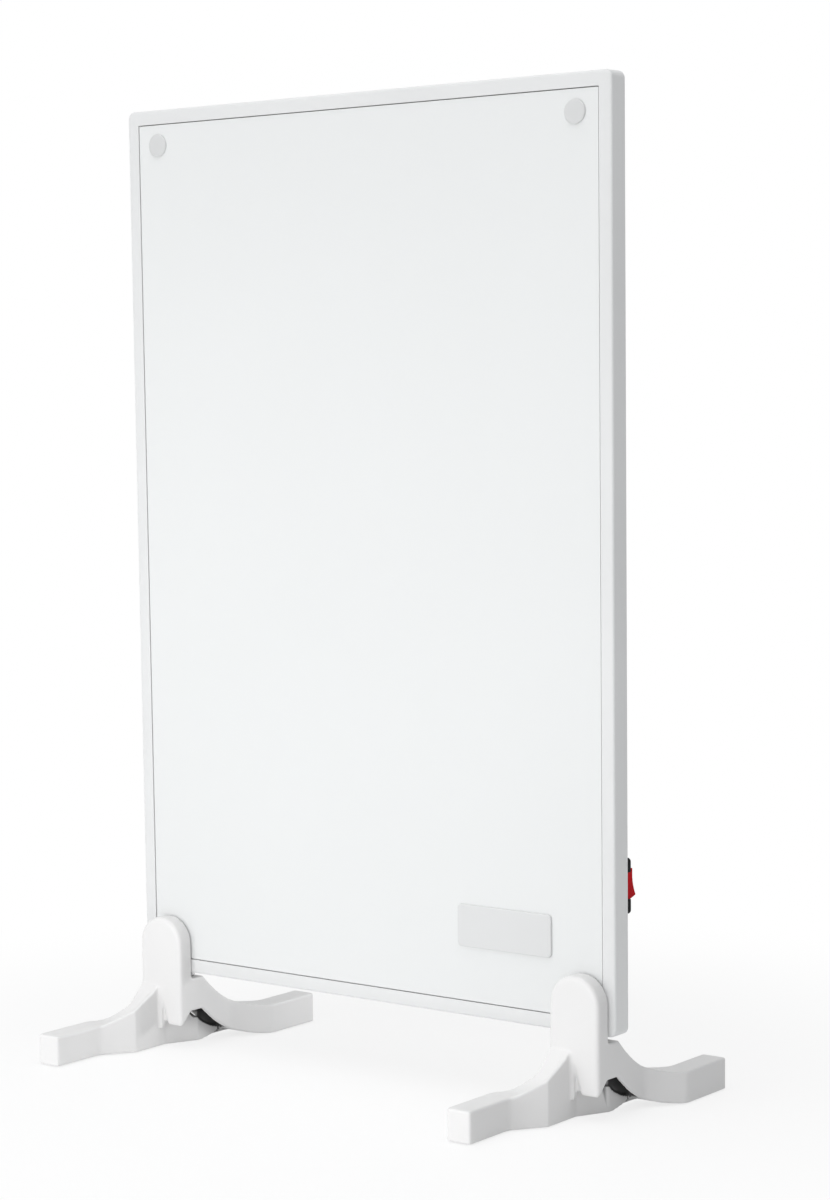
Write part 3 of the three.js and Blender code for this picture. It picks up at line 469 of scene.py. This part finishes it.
def join_rings(shape, rings, steps):
    """Puts faces between rings of points, each a full ring or a single point."""
    for one, other in zip(rings, rings[1:]):
        for index in range(steps):
            after = (index + 1) % steps
            corners = [one[index % len(one)], one[after % len(one)],
                       other[after % len(other)], other[index % len(other)]]
            face = list(dict.fromkeys(corners))
            if len(face) > 2:
                shape.faces.new(face)


def turned_skin(shape, section, centre, steps=32):
    """Turns (radius, depth) points about an axis that runs from front to back."""
    rings = [ring_of(shape, radius, depth, centre, steps) for radius, depth in section]
    join_rings(shape, rings, steps)


# Small helpers for materials


def shade(colour, factor):
    return tuple(channel * factor for channel in colour)


def worked_out(tree, way, one, other):
    """A number worked out from two others, each a socket or a plain value."""
    node = tree.nodes.new("ShaderNodeMath")
    node.operation = way
    for value, socket in zip((one, other), node.inputs):
        if isinstance(value, float):
            socket.default_value = value
        else:
            tree.links.new(value, socket)
    return node.outputs["Value"]


def seen_rays(tree):
    """One for what the camera, a reflection or a clear piece sees, and nothing for the light."""
    path = tree.nodes.new("ShaderNodeLightPath").outputs
    mirrored = worked_out(tree, "MAXIMUM", path["Is Glossy Ray"], path["Is Transmission Ray"])
    return worked_out(tree, "MAXIMUM", path["Is Camera Ray"], mirrored)


def mixed(tree, share, one, other):
    """One shader where the share is nothing, and another where it is whole."""
    mix = tree.nodes.new("ShaderNodeMixShader")
    tree.links.new(share, mix.inputs["Fac"])
    tree.links.new(one, mix.inputs[1])
    tree.links.new(other, mix.inputs[2])
    return mix.outputs["Shader"]


class Surface:
    """A principled material and the nodes that shape its colour, gloss and relief."""

    def __init__(self, name, colour, roughness, metallic=0.0):
        self.material = bpy.data.materials.new(name)
        self.material.use_nodes = True
        self.tree = self.material.node_tree
        self.shader = self.tree.nodes["Principled BSDF"]
        self.shader.inputs["Base Color"].default_value = (*colour, 1.0)
        self.shader.inputs["Roughness"].default_value = roughness
        self.shader.inputs["Metallic"].default_value = metallic
        self.places = self.tree.nodes.new("ShaderNodeTexCoord").outputs["Object"]

    def grain(self, scale, detail=3.0, stretch=(1.0, 1.0, 1.0)):
        """A noise that stays fixed to the piece."""
        mapping = self.tree.nodes.new("ShaderNodeMapping")
        mapping.inputs["Scale"].default_value = stretch
        texture = self.tree.nodes.new("ShaderNodeTexNoise")
        texture.inputs["Scale"].default_value = scale
        texture.inputs["Detail"].default_value = detail
        self.tree.links.new(self.places, mapping.inputs["Vector"])
        self.tree.links.new(mapping.outputs["Vector"], texture.inputs["Vector"])
        return texture.outputs["Fac"]

    def tones(self, grain, colour, darkest, lightest, start=0.3, end=0.7):
        """The colour, between a darker and a lighter tone as the grain goes."""
        ramp = self.tree.nodes.new("ShaderNodeValToRGB")
        first, last = ramp.color_ramp.elements
        first.position, last.position = start, end
        first.color = (*shade(colour, darkest), 1.0)
        last.color = (*shade(colour, lightest), 1.0)
        self.tree.links.new(grain, ramp.inputs["Fac"])
        return ramp.outputs["Color"]

    def blend(self, share, one, other):
        """One colour where the share is nothing, and another where it is whole."""
        mix = self.tree.nodes.new("ShaderNodeMix")
        mix.data_type = "RGBA"
        self.tree.links.new(share, mix.inputs["Factor"])
        self.tree.links.new(one, mix.inputs["A"])
        self.tree.links.new(other, mix.inputs["B"])
        return mix.outputs["Result"]

    def behind(self, depth, front, back):
        """One colour in front of a depth and another behind it."""
        split = self.tree.nodes.new("ShaderNodeSeparateXYZ")
        self.tree.links.new(self.places, split.inputs["Vector"])
        past = worked_out(self.tree, "GREATER_THAN", split.outputs["Y"], depth)
        return self.blend(past, front, back)

    def tint(self, colour):
        self.tree.links.new(colour, self.shader.inputs["Base Color"])

    def gloss(self, grain, low, high):
        """Roughness between two values as the grain goes."""
        span = self.tree.nodes.new("ShaderNodeMapRange")
        span.inputs["To Min"].default_value = low
        span.inputs["To Max"].default_value = high
        self.tree.links.new(grain, span.inputs["Value"])
        self.tree.links.new(span.outputs["Result"], self.shader.inputs["Roughness"])

    def relief(self, grain, depth, strength):
        """Bumps of a given depth where the grain rises."""
        bump = self.tree.nodes.new("ShaderNodeBump")
        bump.inputs["Strength"].default_value = strength
        bump.inputs["Distance"].default_value = depth
        self.tree.links.new(grain, bump.inputs["Height"])
        self.tree.links.new(bump.outputs["Normal"], self.shader.inputs["Normal"])


def moulded(name, colour, roughness, deep=None):
    """Satin moulded plastic: a fine spark-eroded grain, a little uneven gloss and, where the mesh
    says that it lies deep inside, a much darker painted shade."""
    surface = Surface(name, colour, roughness)
    fine = surface.grain(2600.0, detail=2.0)
    broad = surface.grain(9.0, detail=4.0)
    tone = surface.tones(broad, colour, 0.97, 1.02)
    # Painted shade: the colour turns to the dark tone where the mesh marks a point as lying
    # inside.
    if deep is not None:
        inside = surface.tree.nodes.new("ShaderNodeAttribute")
        inside.attribute_name = "inside"
        tone = surface.blend(inside.outputs["Fac"], tone, surface.tones(broad, deep, 0.9, 1.1))
    surface.tint(tone)
    surface.gloss(broad, roughness - 0.05, roughness + 0.07)
    surface.relief(fine, depth=0.06 * MM, strength=0.35)
    return surface.material


def board_finish(name, colour, face):
    """A matt rolled coat with a faint stipple on the face, and a dark colour behind it, painted
    shade that darkens the joint to the surround.
    """
    surface = Surface(name, colour, 0.55)
    stipple = surface.grain(1400.0)
    coat = surface.tones(surface.grain(2.2, detail=2.0), colour, 0.985, 1.015)
    # Painted shade: everything behind the coat turns dark, so that the joint to the surround reads
    # as a dark line.
    bare = surface.tones(stipple, BOARD_JOINT_SHADE, 1.0, 1.5, start=0.0, end=1.0)
    surface.tint(surface.behind(face + COAT_DEPTH, coat, bare))
    surface.gloss(stipple, 0.48, 0.62)
    surface.relief(stipple, depth=0.08 * MM, strength=0.3)
    return surface.material


def powder_coat(name, colour):
    """Orange-peel powder coat on sheet steel."""
    surface = Surface(name, colour, 0.45)
    peel = surface.grain(700.0, detail=2.0)
    surface.tint(surface.tones(surface.grain(5.0), colour, 0.97, 1.02))
    surface.gloss(peel, 0.38, 0.55)
    surface.relief(peel, depth=0.15 * MM, strength=0.5)
    return surface.material


def plated(name, colour, roughness, stretch=(1.0, 1.0, 30.0)):
    """Zinc plate or plain metal with faint draw marks."""
    surface = Surface(name, colour, roughness, metallic=1.0)
    marks = surface.grain(90.0, detail=4.0, stretch=stretch)
    surface.tint(surface.tones(marks, colour, 0.85, 1.08))
    surface.gloss(marks, roughness - 0.08, roughness + 0.1)
    surface.relief(marks, depth=0.04 * MM, strength=0.3)
    return surface.material


def glossy_moulding(name, colour, roughness, specular=0.5):
    """Hard moulded plastic with a slight wave in its gloss."""
    surface = Surface(name, colour, roughness)
    surface.shader.inputs["Specular IOR Level"].default_value = specular
    wave = surface.grain(260.0, detail=2.0)
    surface.tint(surface.tones(surface.grain(60.0), colour, 0.85, 1.1))
    surface.gloss(wave, roughness - 0.04, roughness + 0.06)
    surface.relief(wave, depth=0.04 * MM, strength=0.25)
    return surface.material


def soft_rubber(name, colour):
    """Dull rubber with open pores."""
    surface = Surface(name, colour, 0.8)
    pores = surface.grain(1800.0, detail=4.0)
    surface.tint(surface.tones(pores, colour, 0.7, 1.4))
    surface.relief(pores, depth=0.1 * MM, strength=0.6)
    return surface.material


def fibres(name, colour):
    """Pressed or loose mineral fibre."""
    surface = Surface(name, colour, 0.95)
    tufts = surface.grain(320.0, detail=8.0, stretch=(1.0, 1.0, 0.3))
    surface.tint(surface.tones(tufts, colour, 0.75, 1.08, start=0.25, end=0.75))
    surface.relief(tufts, depth=0.6 * MM, strength=0.9)
    return surface.material


def give(names, material):
    for name in names:
        for slot in NODES[name].material_slots:
            slot.material = material


# Pieces


class FinishPanel(bpy.types.Operator):
    """Gives the board and the rear cover their finishes"""
    bl_idname = "heater.finish_panel"
    bl_label = "Board and rear cover"

    def execute(self, context):
        tones = colours()
        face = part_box("front_board")[0].y
        give(["front_board"], board_finish("board_face", tuple(tones.board), face))
        give(["back_cover"], powder_coat("rear_coat", tuple(tones.steel_coat)))
        return {"FINISHED"}


class FinishInside(bpy.types.Operator):
    """Gives the heating stack and the parts of the wiring bay their finishes"""
    bl_idname = "heater.finish_inside"
    bl_label = "Inner finishes"

    def execute(self, context):
        give(["heating_track"], plated("etched_alloy", (0.35, 0.34, 0.33), 0.4))
        give(["carrier_sheet"], fibres("pressed_mica", (0.42, 0.30, 0.13)))
        give(["reflector_foil"], plated("bright_foil", (0.85, 0.86, 0.87), 0.22))
        give(["insulation_blanket"], fibres("mineral_wool", (0.72, 0.66, 0.52)))
        brown = glossy_moulding("brown_sleeve", (0.16, 0.05, 0.02), 0.4)
        give(nodes_starting("lead_switch", "lead_track_live"), brown)
        give(["lead_track_neutral"], glossy_moulding("blue_sleeve", (0.02, 0.08, 0.35), 0.4))
        give(nodes_starting("fixing_sleeve"), plated("zinc_plate", ZINC, 0.32))
        return {"FINISHED"}


class EaseSmallPieces(bpy.types.Operator):
    """Rounds the edges of the rubber pieces, the ceramic block, the cut-out and the brass"""
    bl_idname = "heater.ease_small_pieces"
    bl_label = "Small pieces"

    def execute(self, context):
        values = sizes()
        rubber = soft_rubber("black_rubber", (0.022, 0.022, 0.022))
        ceramic = moulded("unglazed_ceramic", (0.80, 0.78, 0.72), 0.6)
        phenolic = glossy_moulding("phenolic", (0.02, 0.018, 0.016), 0.4)
        brass = plated("plain_brass", (0.75, 0.55, 0.22), 0.3)
        rubber_pieces = ("left_foot_pad", "right_foot_pad", "left_slot", "right_slot")
        brass_pieces = ("terminal_pole", "switch_contact", "switch_spade")
        groups = (
            (rubber_pieces, values.rubber_edge, "black_rubber", rubber),
            (("terminal_block",), values.block_edge, "white_ceramic", ceramic),
            (("thermal_cutout",), values.block_edge, "black_moulding", phenolic),
            (brass_pieces, values.brass_edge, "brass", brass))
        for starts, edge, slot, finish in groups:
            for node in nodes_starting(*starts):
                piece = bevelled_copy(f"{node}_eased", node, edge)
                put_in_place(piece, node, "heater", finish)
        return {"FINISHED"}


class ShapeFrame(bpy.types.Operator):
    """Shapes the surround with its round outer edge, its crisp inner edge and what screws bite"""
    bl_idname = "heater.shape_frame"
    bl_label = "Surround"

    def execute(self, context):
        values = sizes()
        low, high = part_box("front_frame")
        width, height = high.x - low.x, high.z - low.z
        outer, crisp, border = values.frame_edge, CRISP_EDGE, values.frame_border
        lip_back = low.y + values.frame_lip
        section = [(values.frame_wall, high.y), (BACK_EDGE, high.y), (0.0, high.y - BACK_EDGE)]
        section += quarter_turn(outer, low.y + outer, outer, 180, 270, 8)
        section += quarter_turn(border - crisp, low.y + crisp, crisp, 270, 360, 3)
        section += [(border, lip_back), (values.frame_wall, lip_back)]
        loops = [
            (width - 2 * inset, height - 2 * inset,
             max(values.frame_corner - inset, values.frame_inner_corner), depth)
            for inset, depth in section]
        shape = bmesh.new()
        band(shape, loops, (low + high) / 2, True)
        surround = close_mesh("surround", shape)
        blocks, bores = self.foot_blocks(low.z)
        steps = (("UNION", self.posts(lip_back)), ("UNION", blocks), ("DIFFERENCE", bores))
        for way, tool in steps:
            add_modifier(surround, "BOOLEAN", operation=way, object=tool, solver="MANIFOLD")
        apply_modifiers(surround)
        surround.data.set_sharp_from_angle(angle=SHARP)
        finish = moulded("satin_surround", tuple(colours().moulding), 0.42)
        put_in_place(surround, "front_frame", "heater", finish)
        return {"FINISHED"}

    def posts(self, lip_back):
        """The round posts that the rear cover's screws bite into."""
        values = sizes()
        top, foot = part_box("back_cover")[0].y - COVER_GAP, lip_back - POST_ROOT
        shape = bmesh.new()
        for node in nodes_starting("cover_screw"):
            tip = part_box(node)[0].y - TIP_GAP
            section = [
                (0.0, tip), (values.post_bore, tip), (values.post_bore, top),
                (values.post_radius, top), (values.post_radius, foot), (0.0, foot)]
            turned_skin(shape, section, node_middle(node))
        return close_mesh("posts", shape)

    def foot_blocks(self, bottom):
        """The blocks inside the lower wall that the foot screws bite into, and their bores."""
        values = sizes()
        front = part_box("front_board")[1].y + BOARD_GAP
        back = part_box("back_cover")[0].y - COVER_GAP
        start = bottom + values.frame_wall / 2
        end = bottom + values.frame_wall + values.boss_height
        half_width = values.boss_width / 2
        length = 2 * (values.frame_wall + values.boss_height) + BORE_SPARE
        blocks, bores = bmesh.new(), bmesh.new()
        for node in nodes_starting(*FOOT_SCREWS):
            middle = node_middle(node)
            add_box(
                blocks, (middle.x - half_width, front, start), (middle.x + half_width, back, end))
            bmesh.ops.create_cone(
                bores, cap_ends=True, segments=24, radius1=values.boss_bore,
                radius2=values.boss_bore, depth=length,
                matrix=Matrix.Translation((middle.x, middle.y, bottom)))
        return [
            new_object(name, mesh_of(name, shape))
            for name, shape in (("blocks", blocks), ("bores", bores))]


class ShapeCaps(bpy.types.Operator):
    """Shapes the two fixing caps, each a shallow dome with an eased rim on a hollow stem"""
    bl_idname = "heater.shape_caps"
    bl_label = "Fixing caps"

    def execute(self, context):
        values = sizes()
        finish = moulded("satin_caps", tuple(colours().caps), 0.38)
        rim, dome = values.cap_rim, values.cap_dome
        stem, hollow = values.cap_stem, values.cap_stem - values.cap_wall
        for side in ("left", "right"):
            node = f"fixing_cap_{side}"
            low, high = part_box(node)
            radius, face = (high.x - low.x) / 2, low.y
            under = face + values.cap_height
            section = [(radius * share, face + dome * share * share) for share in DOME_SHARES]
            section += [
                (radius - inward * rim, face + dome + back * rim) for inward, back in RIM_SHARES]
            section += [
                (radius, under), (stem, under), (stem, high.y), (hollow, high.y),
                (hollow, under - rim), (0.0, under - rim)]
            shape = bmesh.new()
            turned_skin(shape, section, (low + high) / 2, 48)
            put_in_place(
                close_mesh(f"{side}_cap", shape), node, "heater", finish)
        return {"FINISHED"}


class ShapePlate(bpy.types.Operator):
    """Shapes the bare plate on the board, a thin slab with a soft edge"""
    bl_idname = "heater.shape_plate"
    bl_label = "Bare plate"

    def execute(self, context):
        values = sizes()
        low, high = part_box("blank_plate")
        width, height = high.x - low.x, high.z - low.z
        edge = values.plate_edge
        section = [(0.0, high.y)] + quarter_turn(edge, low.y + edge, edge, 180, 270, 5)
        section += [(3 * edge, low.y)]
        loops = [
            (width - 2 * inset, height - 2 * inset,
             max(values.plate_corner - inset, SMALLEST_CORNER), depth)
            for inset, depth in section]
        shape = bmesh.new()
        band(shape, loops, (low + high) / 2, False)
        finish = moulded("satin_plate", tuple(colours().plate), 0.36)
        plate = close_mesh("bare_plate", shape)
        put_in_place(plate, "blank_plate", "heater", finish)
        return {"FINISHED"}


class ShapeScrews(bpy.types.Operator):
    """Shapes the screws, each with a low round head and a pressed cross recess"""
    bl_idname = "heater.shape_screws"
    bl_label = "Screws"

    def execute(self, context):
        finish = plated("zinc_screw", ZINC, 0.3, stretch=(1.0, 1.0, 1.0))
        for node in nodes_starting("cover_screw"):
            low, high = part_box(node)
            self.screw(node, high.y, low.y, False, finish)
        for node in nodes_starting(*FOOT_SCREWS):
            low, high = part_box(node)
            self.screw(node, low.z, high.z, True, finish)
        return {"FINISHED"}

    def screw(self, node, top, tip, upright, finish):
        """Makes one screw along its axis and moves it to its place. It is seen from its top."""
        low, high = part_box(node)
        radius, middle = (high.x - low.x) / 2, (low + high) / 2
        shape = bmesh.new()
        origin = Vector((0.0, 0.0, 0.0))
        rings = self.head(shape, radius)
        rings += [
            ring_of(shape, size, -depth, origin, SCREW_TURNS)
            for size, depth in self.shank(radius, abs(top - tip))]
        join_rings(shape, rings, SCREW_TURNS)
        item = close_mesh(f"{node}_turned", shape, math.radians(35))
        if upright:
            item.data.transform(Matrix.Rotation(math.radians(-90), 4, "X"))
            item.data.transform(Matrix.Translation((middle.x, middle.y, top)))
        else:
            item.data.transform(Matrix.Translation((middle.x, top, middle.z)))
        put_in_place(item, node, "heater", finish)

    def head(self, shape, radius):
        """The rings of the head, a dome that the recess is pressed into point by point."""
        rings = []
        for ring in range(HEAD_RINGS + 1):
            share = ring / HEAD_RINGS
            row = []
            for turn in range(SCREW_TURNS if ring else 1):
                angle = math.tau * turn / SCREW_TURNS
                across = radius * share * math.cos(angle)
                up = radius * share * math.sin(angle)
                fall = HEAD_RISE * radius * share ** HEAD_CURVE + self.recess(across, up, radius)
                row.append(shape.verts.new((across, -fall, up)))
            rings.append(row)
        return rings

    def recess(self, across, up, radius):
        """How deep the cross recess is at a point of the head."""
        arm, half = 0.58 * radius, 0.16 * radius
        widest, taper, deepest, slope = 1.25, 0.45, 0.55 * radius, 0.7
        along, beside = max(abs(across), abs(up)), min(abs(across), abs(up))
        if along > arm or beside > half * (widest - along / arm * taper):
            return 0.0
        return deepest * (1.0 - (along / arm) ** 2 * slope)

    def shank(self, radius, reach):
        """The (radius, depth) points from the head's rim down the thread to the tip."""
        values = sizes()
        thread = radius * values.screw_shank
        under = HEAD_SIDE * (HEAD_RISE * radius)
        points = [(radius, under), (thread, under)]
        crest, root, depth = thread, THREAD_ROOT * thread, under
        while depth < reach - THREAD_END * thread:
            depth += values.screw_pitch / 2
            crest, root = root, crest
            points.append((crest, depth))
        return points + [(TIP_SHARE * thread, reach - thread), (0.0, reach)]


class ShapeSwitch(bpy.types.Operator):
    """Shapes the switch housing, its red rocker and the cord inlet as eased mouldings"""
    bl_idname = "heater.shape_switch"
    bl_label = "Switch and inlet"

    def execute(self, context):
        black = glossy_moulding("black_moulding", (0.006, 0.006, 0.007), 0.55, specular=0.08)
        red = glossy_moulding("red_rocker", tuple(colours().rocker), 0.5, specular=0.08)
        step = sizes().switch_step
        middle = node_middle("switch_housing")
        wall_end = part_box("back_cover")[1].y + WALL_LEFT
        low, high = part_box("switch_rocker")
        mouth = (
            (middle.x - MOUTH_HALF, wall_end, middle.z - MOUTH_BELOW),
            (middle.x + MOUTH_HALF, high.y, middle.z + MOUTH_ABOVE))
        right_end = ((middle.x + KEY_HALF, low.y, low.z), (high.x + CUT_PAST, high.y, high.z))
        left_end = ((low.x - CUT_PAST, low.y, low.z), (middle.x - KEY_HALF, high.y, high.z))
        housing = eased_copy(
            "switch_moulding", "switch_housing", step, rounds=5, keep=0.2, cuts=[mouth])
        put_in_place(housing, "switch_housing", "heater", black)
        inlet = eased_copy("inlet_moulding", "cord_inlet", step, rounds=4, keep=0.3)
        put_in_place(inlet, "cord_inlet", "heater", black)
        key = eased_copy(
            "rocker_key", "switch_rocker", step, rounds=6, keep=0.35, cuts=[right_end, left_end])
        put_in_place(key, "switch_rocker", "rocker", red)
        return {"FINISHED"}


class ShapeFeet(bpy.types.Operator):
    """Shapes each foot as one soft moulding, with every edge and inner corner eased"""
    bl_idname = "heater.shape_feet"
    bl_label = "Feet"

    def execute(self, context):
        values = sizes()
        # Painted shade: a much darker tone of the feet's colour, for points that lie inside a
        # foot.
        deep = shade(colours().foot, FOOT_SHADE_TONE)
        finish = moulded("foot_moulding", tuple(colours().foot), 0.4, deep)
        for side in ("left", "right"):
            node = f"{side}_foot"
            middle = node_middle(node).x
            screen = [(middle + across, back, up) for across, back, up in SCREEN_CORNERS]
            foot = eased_copy(
                f"{node}_moulding", node, values.foot_step, values.foot_rounds, keep=0.2,
                walls=[screen])
            mark_shade_depth(foot, middle, INSIDE_REACH)
            put_in_place(foot, node, "heater", finish)
        return {"FINISHED"}


# Stage


def build_world():
    """Even light from all round, and plain white for what the camera and reflections see."""
    world = bpy.data.worlds.new("studio")
    world.use_nodes = True
    bpy.context.scene.world = world
    tree = world.node_tree
    light = tree.nodes["Background"]
    light.inputs["Color"].default_value = SKY_COLOUR
    light.inputs["Strength"].default_value = SKY_STRENGTH
    white = tree.nodes.new("ShaderNodeBackground")
    white.inputs["Color"].default_value = WHITE
    white.inputs["Strength"].default_value = 1.0
    shown = mixed(tree, seen_rays(tree), light.outputs["Background"], white.outputs["Background"])
    tree.links.new(shown, tree.nodes["World Output"].inputs["Surface"])


def paper_floor(colour):
    """Pale paper that keeps the shadow near the heater and fades to the white backdrop."""
    surface = Surface("floor_paper", colour, 0.7)
    surface.gloss(surface.grain(40.0), 0.6, 0.8)
    tree = surface.tree
    away = tree.nodes.new("ShaderNodeVectorMath")
    away.operation = "LENGTH"
    tree.links.new(surface.places, away.inputs[0])
    fade = tree.nodes.new("ShaderNodeMapRange")
    fade.interpolation_type = "SMOOTHSTEP"
    fade.inputs["From Min"].default_value = FADE_START
    fade.inputs["From Max"].default_value = FADE_END
    fade.inputs["To Min"].default_value = FADE_LEAST
    tree.links.new(away.outputs["Value"], fade.inputs["Value"])
    share = worked_out(tree, "MULTIPLY", fade.outputs["Result"], seen_rays(tree))
    white = tree.nodes.new("ShaderNodeEmission")
    shown = mixed(tree, share, surface.shader.outputs["BSDF"], white.outputs["Emission"])
    tree.links.new(shown, tree.nodes["Material Output"].inputs["Surface"])
    return surface.material


def build_floor():
    """The floor, just under the pads."""
    shape = bmesh.new()
    bmesh.ops.create_grid(shape, x_segments=8, y_segments=8, size=FLOOR_REACH)
    floor = new_object("floor", mesh_of("floor", shape))
    floor.location.z = -FLOOR_GAP
    floor.data.materials.append(paper_floor(tuple(colours().floor)))


def add_lamp(name, place, aim, size, power):
    """A soft rectangular lamp that points at its aim."""
    lamp = bpy.data.lights.new(name, "AREA")
    lamp.shape = "RECTANGLE"
    lamp.size, lamp.size_y = size
    lamp.energy = power
    item = new_object(name, lamp)
    item.location = place
    item.rotation_euler = (Vector(aim) - Vector(place)).to_track_quat("-Z", "Y").to_euler()
    item.visible_camera = False
    return item


def light_only(lamp, names):
    """Keeps a lamp's light to the named objects."""
    lit = bpy.data.collections.new(f"lit_by_{lamp.name}")
    for name in names:
        lit.objects.link(bpy.data.objects[name])
    lamp.light_linking.receiver_collection = lit


def build_camera():
    """The camera, at the photograph's place and angle."""
    values = bpy.context.scene.heater_camera
    camera = bpy.data.cameras.new("photo_camera")
    camera.sensor_fit = "VERTICAL"
    camera.sensor_height = SENSOR_HEIGHT
    camera.lens = values.lens
    camera.shift_y = values.rise
    camera.clip_end = 50.0
    item = new_object("photo_camera", camera)
    turn, fall, roll = values.azimuth, values.elevation, values.roll
    ahead = Vector(
        (-math.sin(turn) * math.cos(fall), math.cos(turn) * math.cos(fall), -math.sin(fall)))
    level = Vector((math.cos(turn), math.sin(turn), 0.0))
    above = level.cross(ahead)
    right = math.cos(roll) * level + math.sin(roll) * above
    up = math.cos(roll) * above - math.sin(roll) * level
    axes = Matrix((right, up, -ahead)).transposed().to_4x4()
    item.matrix_world = Matrix.Translation(Vector(values.place)) @ axes
    bpy.context.scene.camera = item


class BuildStage(bpy.types.Operator):
    """Makes the floor, the soft studio light and the camera"""
    bl_idname = "heater.build_stage"
    bl_label = "Stage"

    def execute(self, context):
        context.scene.view_settings.view_transform = "Standard"
        build_world()
        build_floor()
        heads = [f"{node}_turned" for node in nodes_starting("cover_screw")]
        lit = {
            "feet_lamp": ["left_foot_moulding", "right_foot_moulding"],
            "left_foot_lamp": ["left_foot_moulding"],
            "rear_lamp": [NODES["back_cover"].name, "inlet_moulding", *heads],
        }
        for name, (place, aim, size, power) in LAMPS.items():
            lamp = add_lamp(name, place, aim, size, power)
            if name in lit:
                light_only(lamp, lit[name])
        build_camera()
        return {"FINISHED"}


OPERATORS = (
    FinishPanel, FinishInside, ShapeFrame, ShapeCaps, ShapePlate, ShapeScrews, ShapeSwitch,
    ShapeFeet, EaseSmallPieces, BuildStage)


class HeaterPanel(bpy.types.Panel):
    """Lists the steps that dress the heater"""
    bl_idname = "VIEW3D_PT_heater"
    bl_label = "Panel heater"
    bl_space_type = "VIEW_3D"
    bl_region_type = "UI"
    bl_category = "Heater"

    def draw(self, context):
        for operator in OPERATORS:
            self.layout.operator(operator.bl_idname)


GROUPS = {
    "heater_colours": HeaterColours, "heater_sizes": HeaterSizes, "heater_camera": CameraSizes}
CLASSES = (*GROUPS.values(), *OPERATORS, HeaterPanel)


def register():
    for item in CLASSES:
        bpy.utils.register_class(item)
    for name, group in GROUPS.items():
        setattr(bpy.types.Scene, name, PointerProperty(type=group))


def unregister():
    for name in GROUPS:
        delattr(bpy.types.Scene, name)
    for item in reversed(CLASSES):
        bpy.utils.unregister_class(item)


def main():
    register()
    bpy.ops.heater.finish_panel()
    bpy.ops.heater.finish_inside()
    bpy.ops.heater.shape_frame()
    bpy.ops.heater.shape_caps()
    bpy.ops.heater.shape_plate()
    bpy.ops.heater.shape_screws()
    bpy.ops.heater.shape_switch()
    bpy.ops.heater.shape_feet()
    bpy.ops.heater.ease_small_pieces()
    bpy.ops.heater.build_stage()


if __name__ == "__main__":
    main()
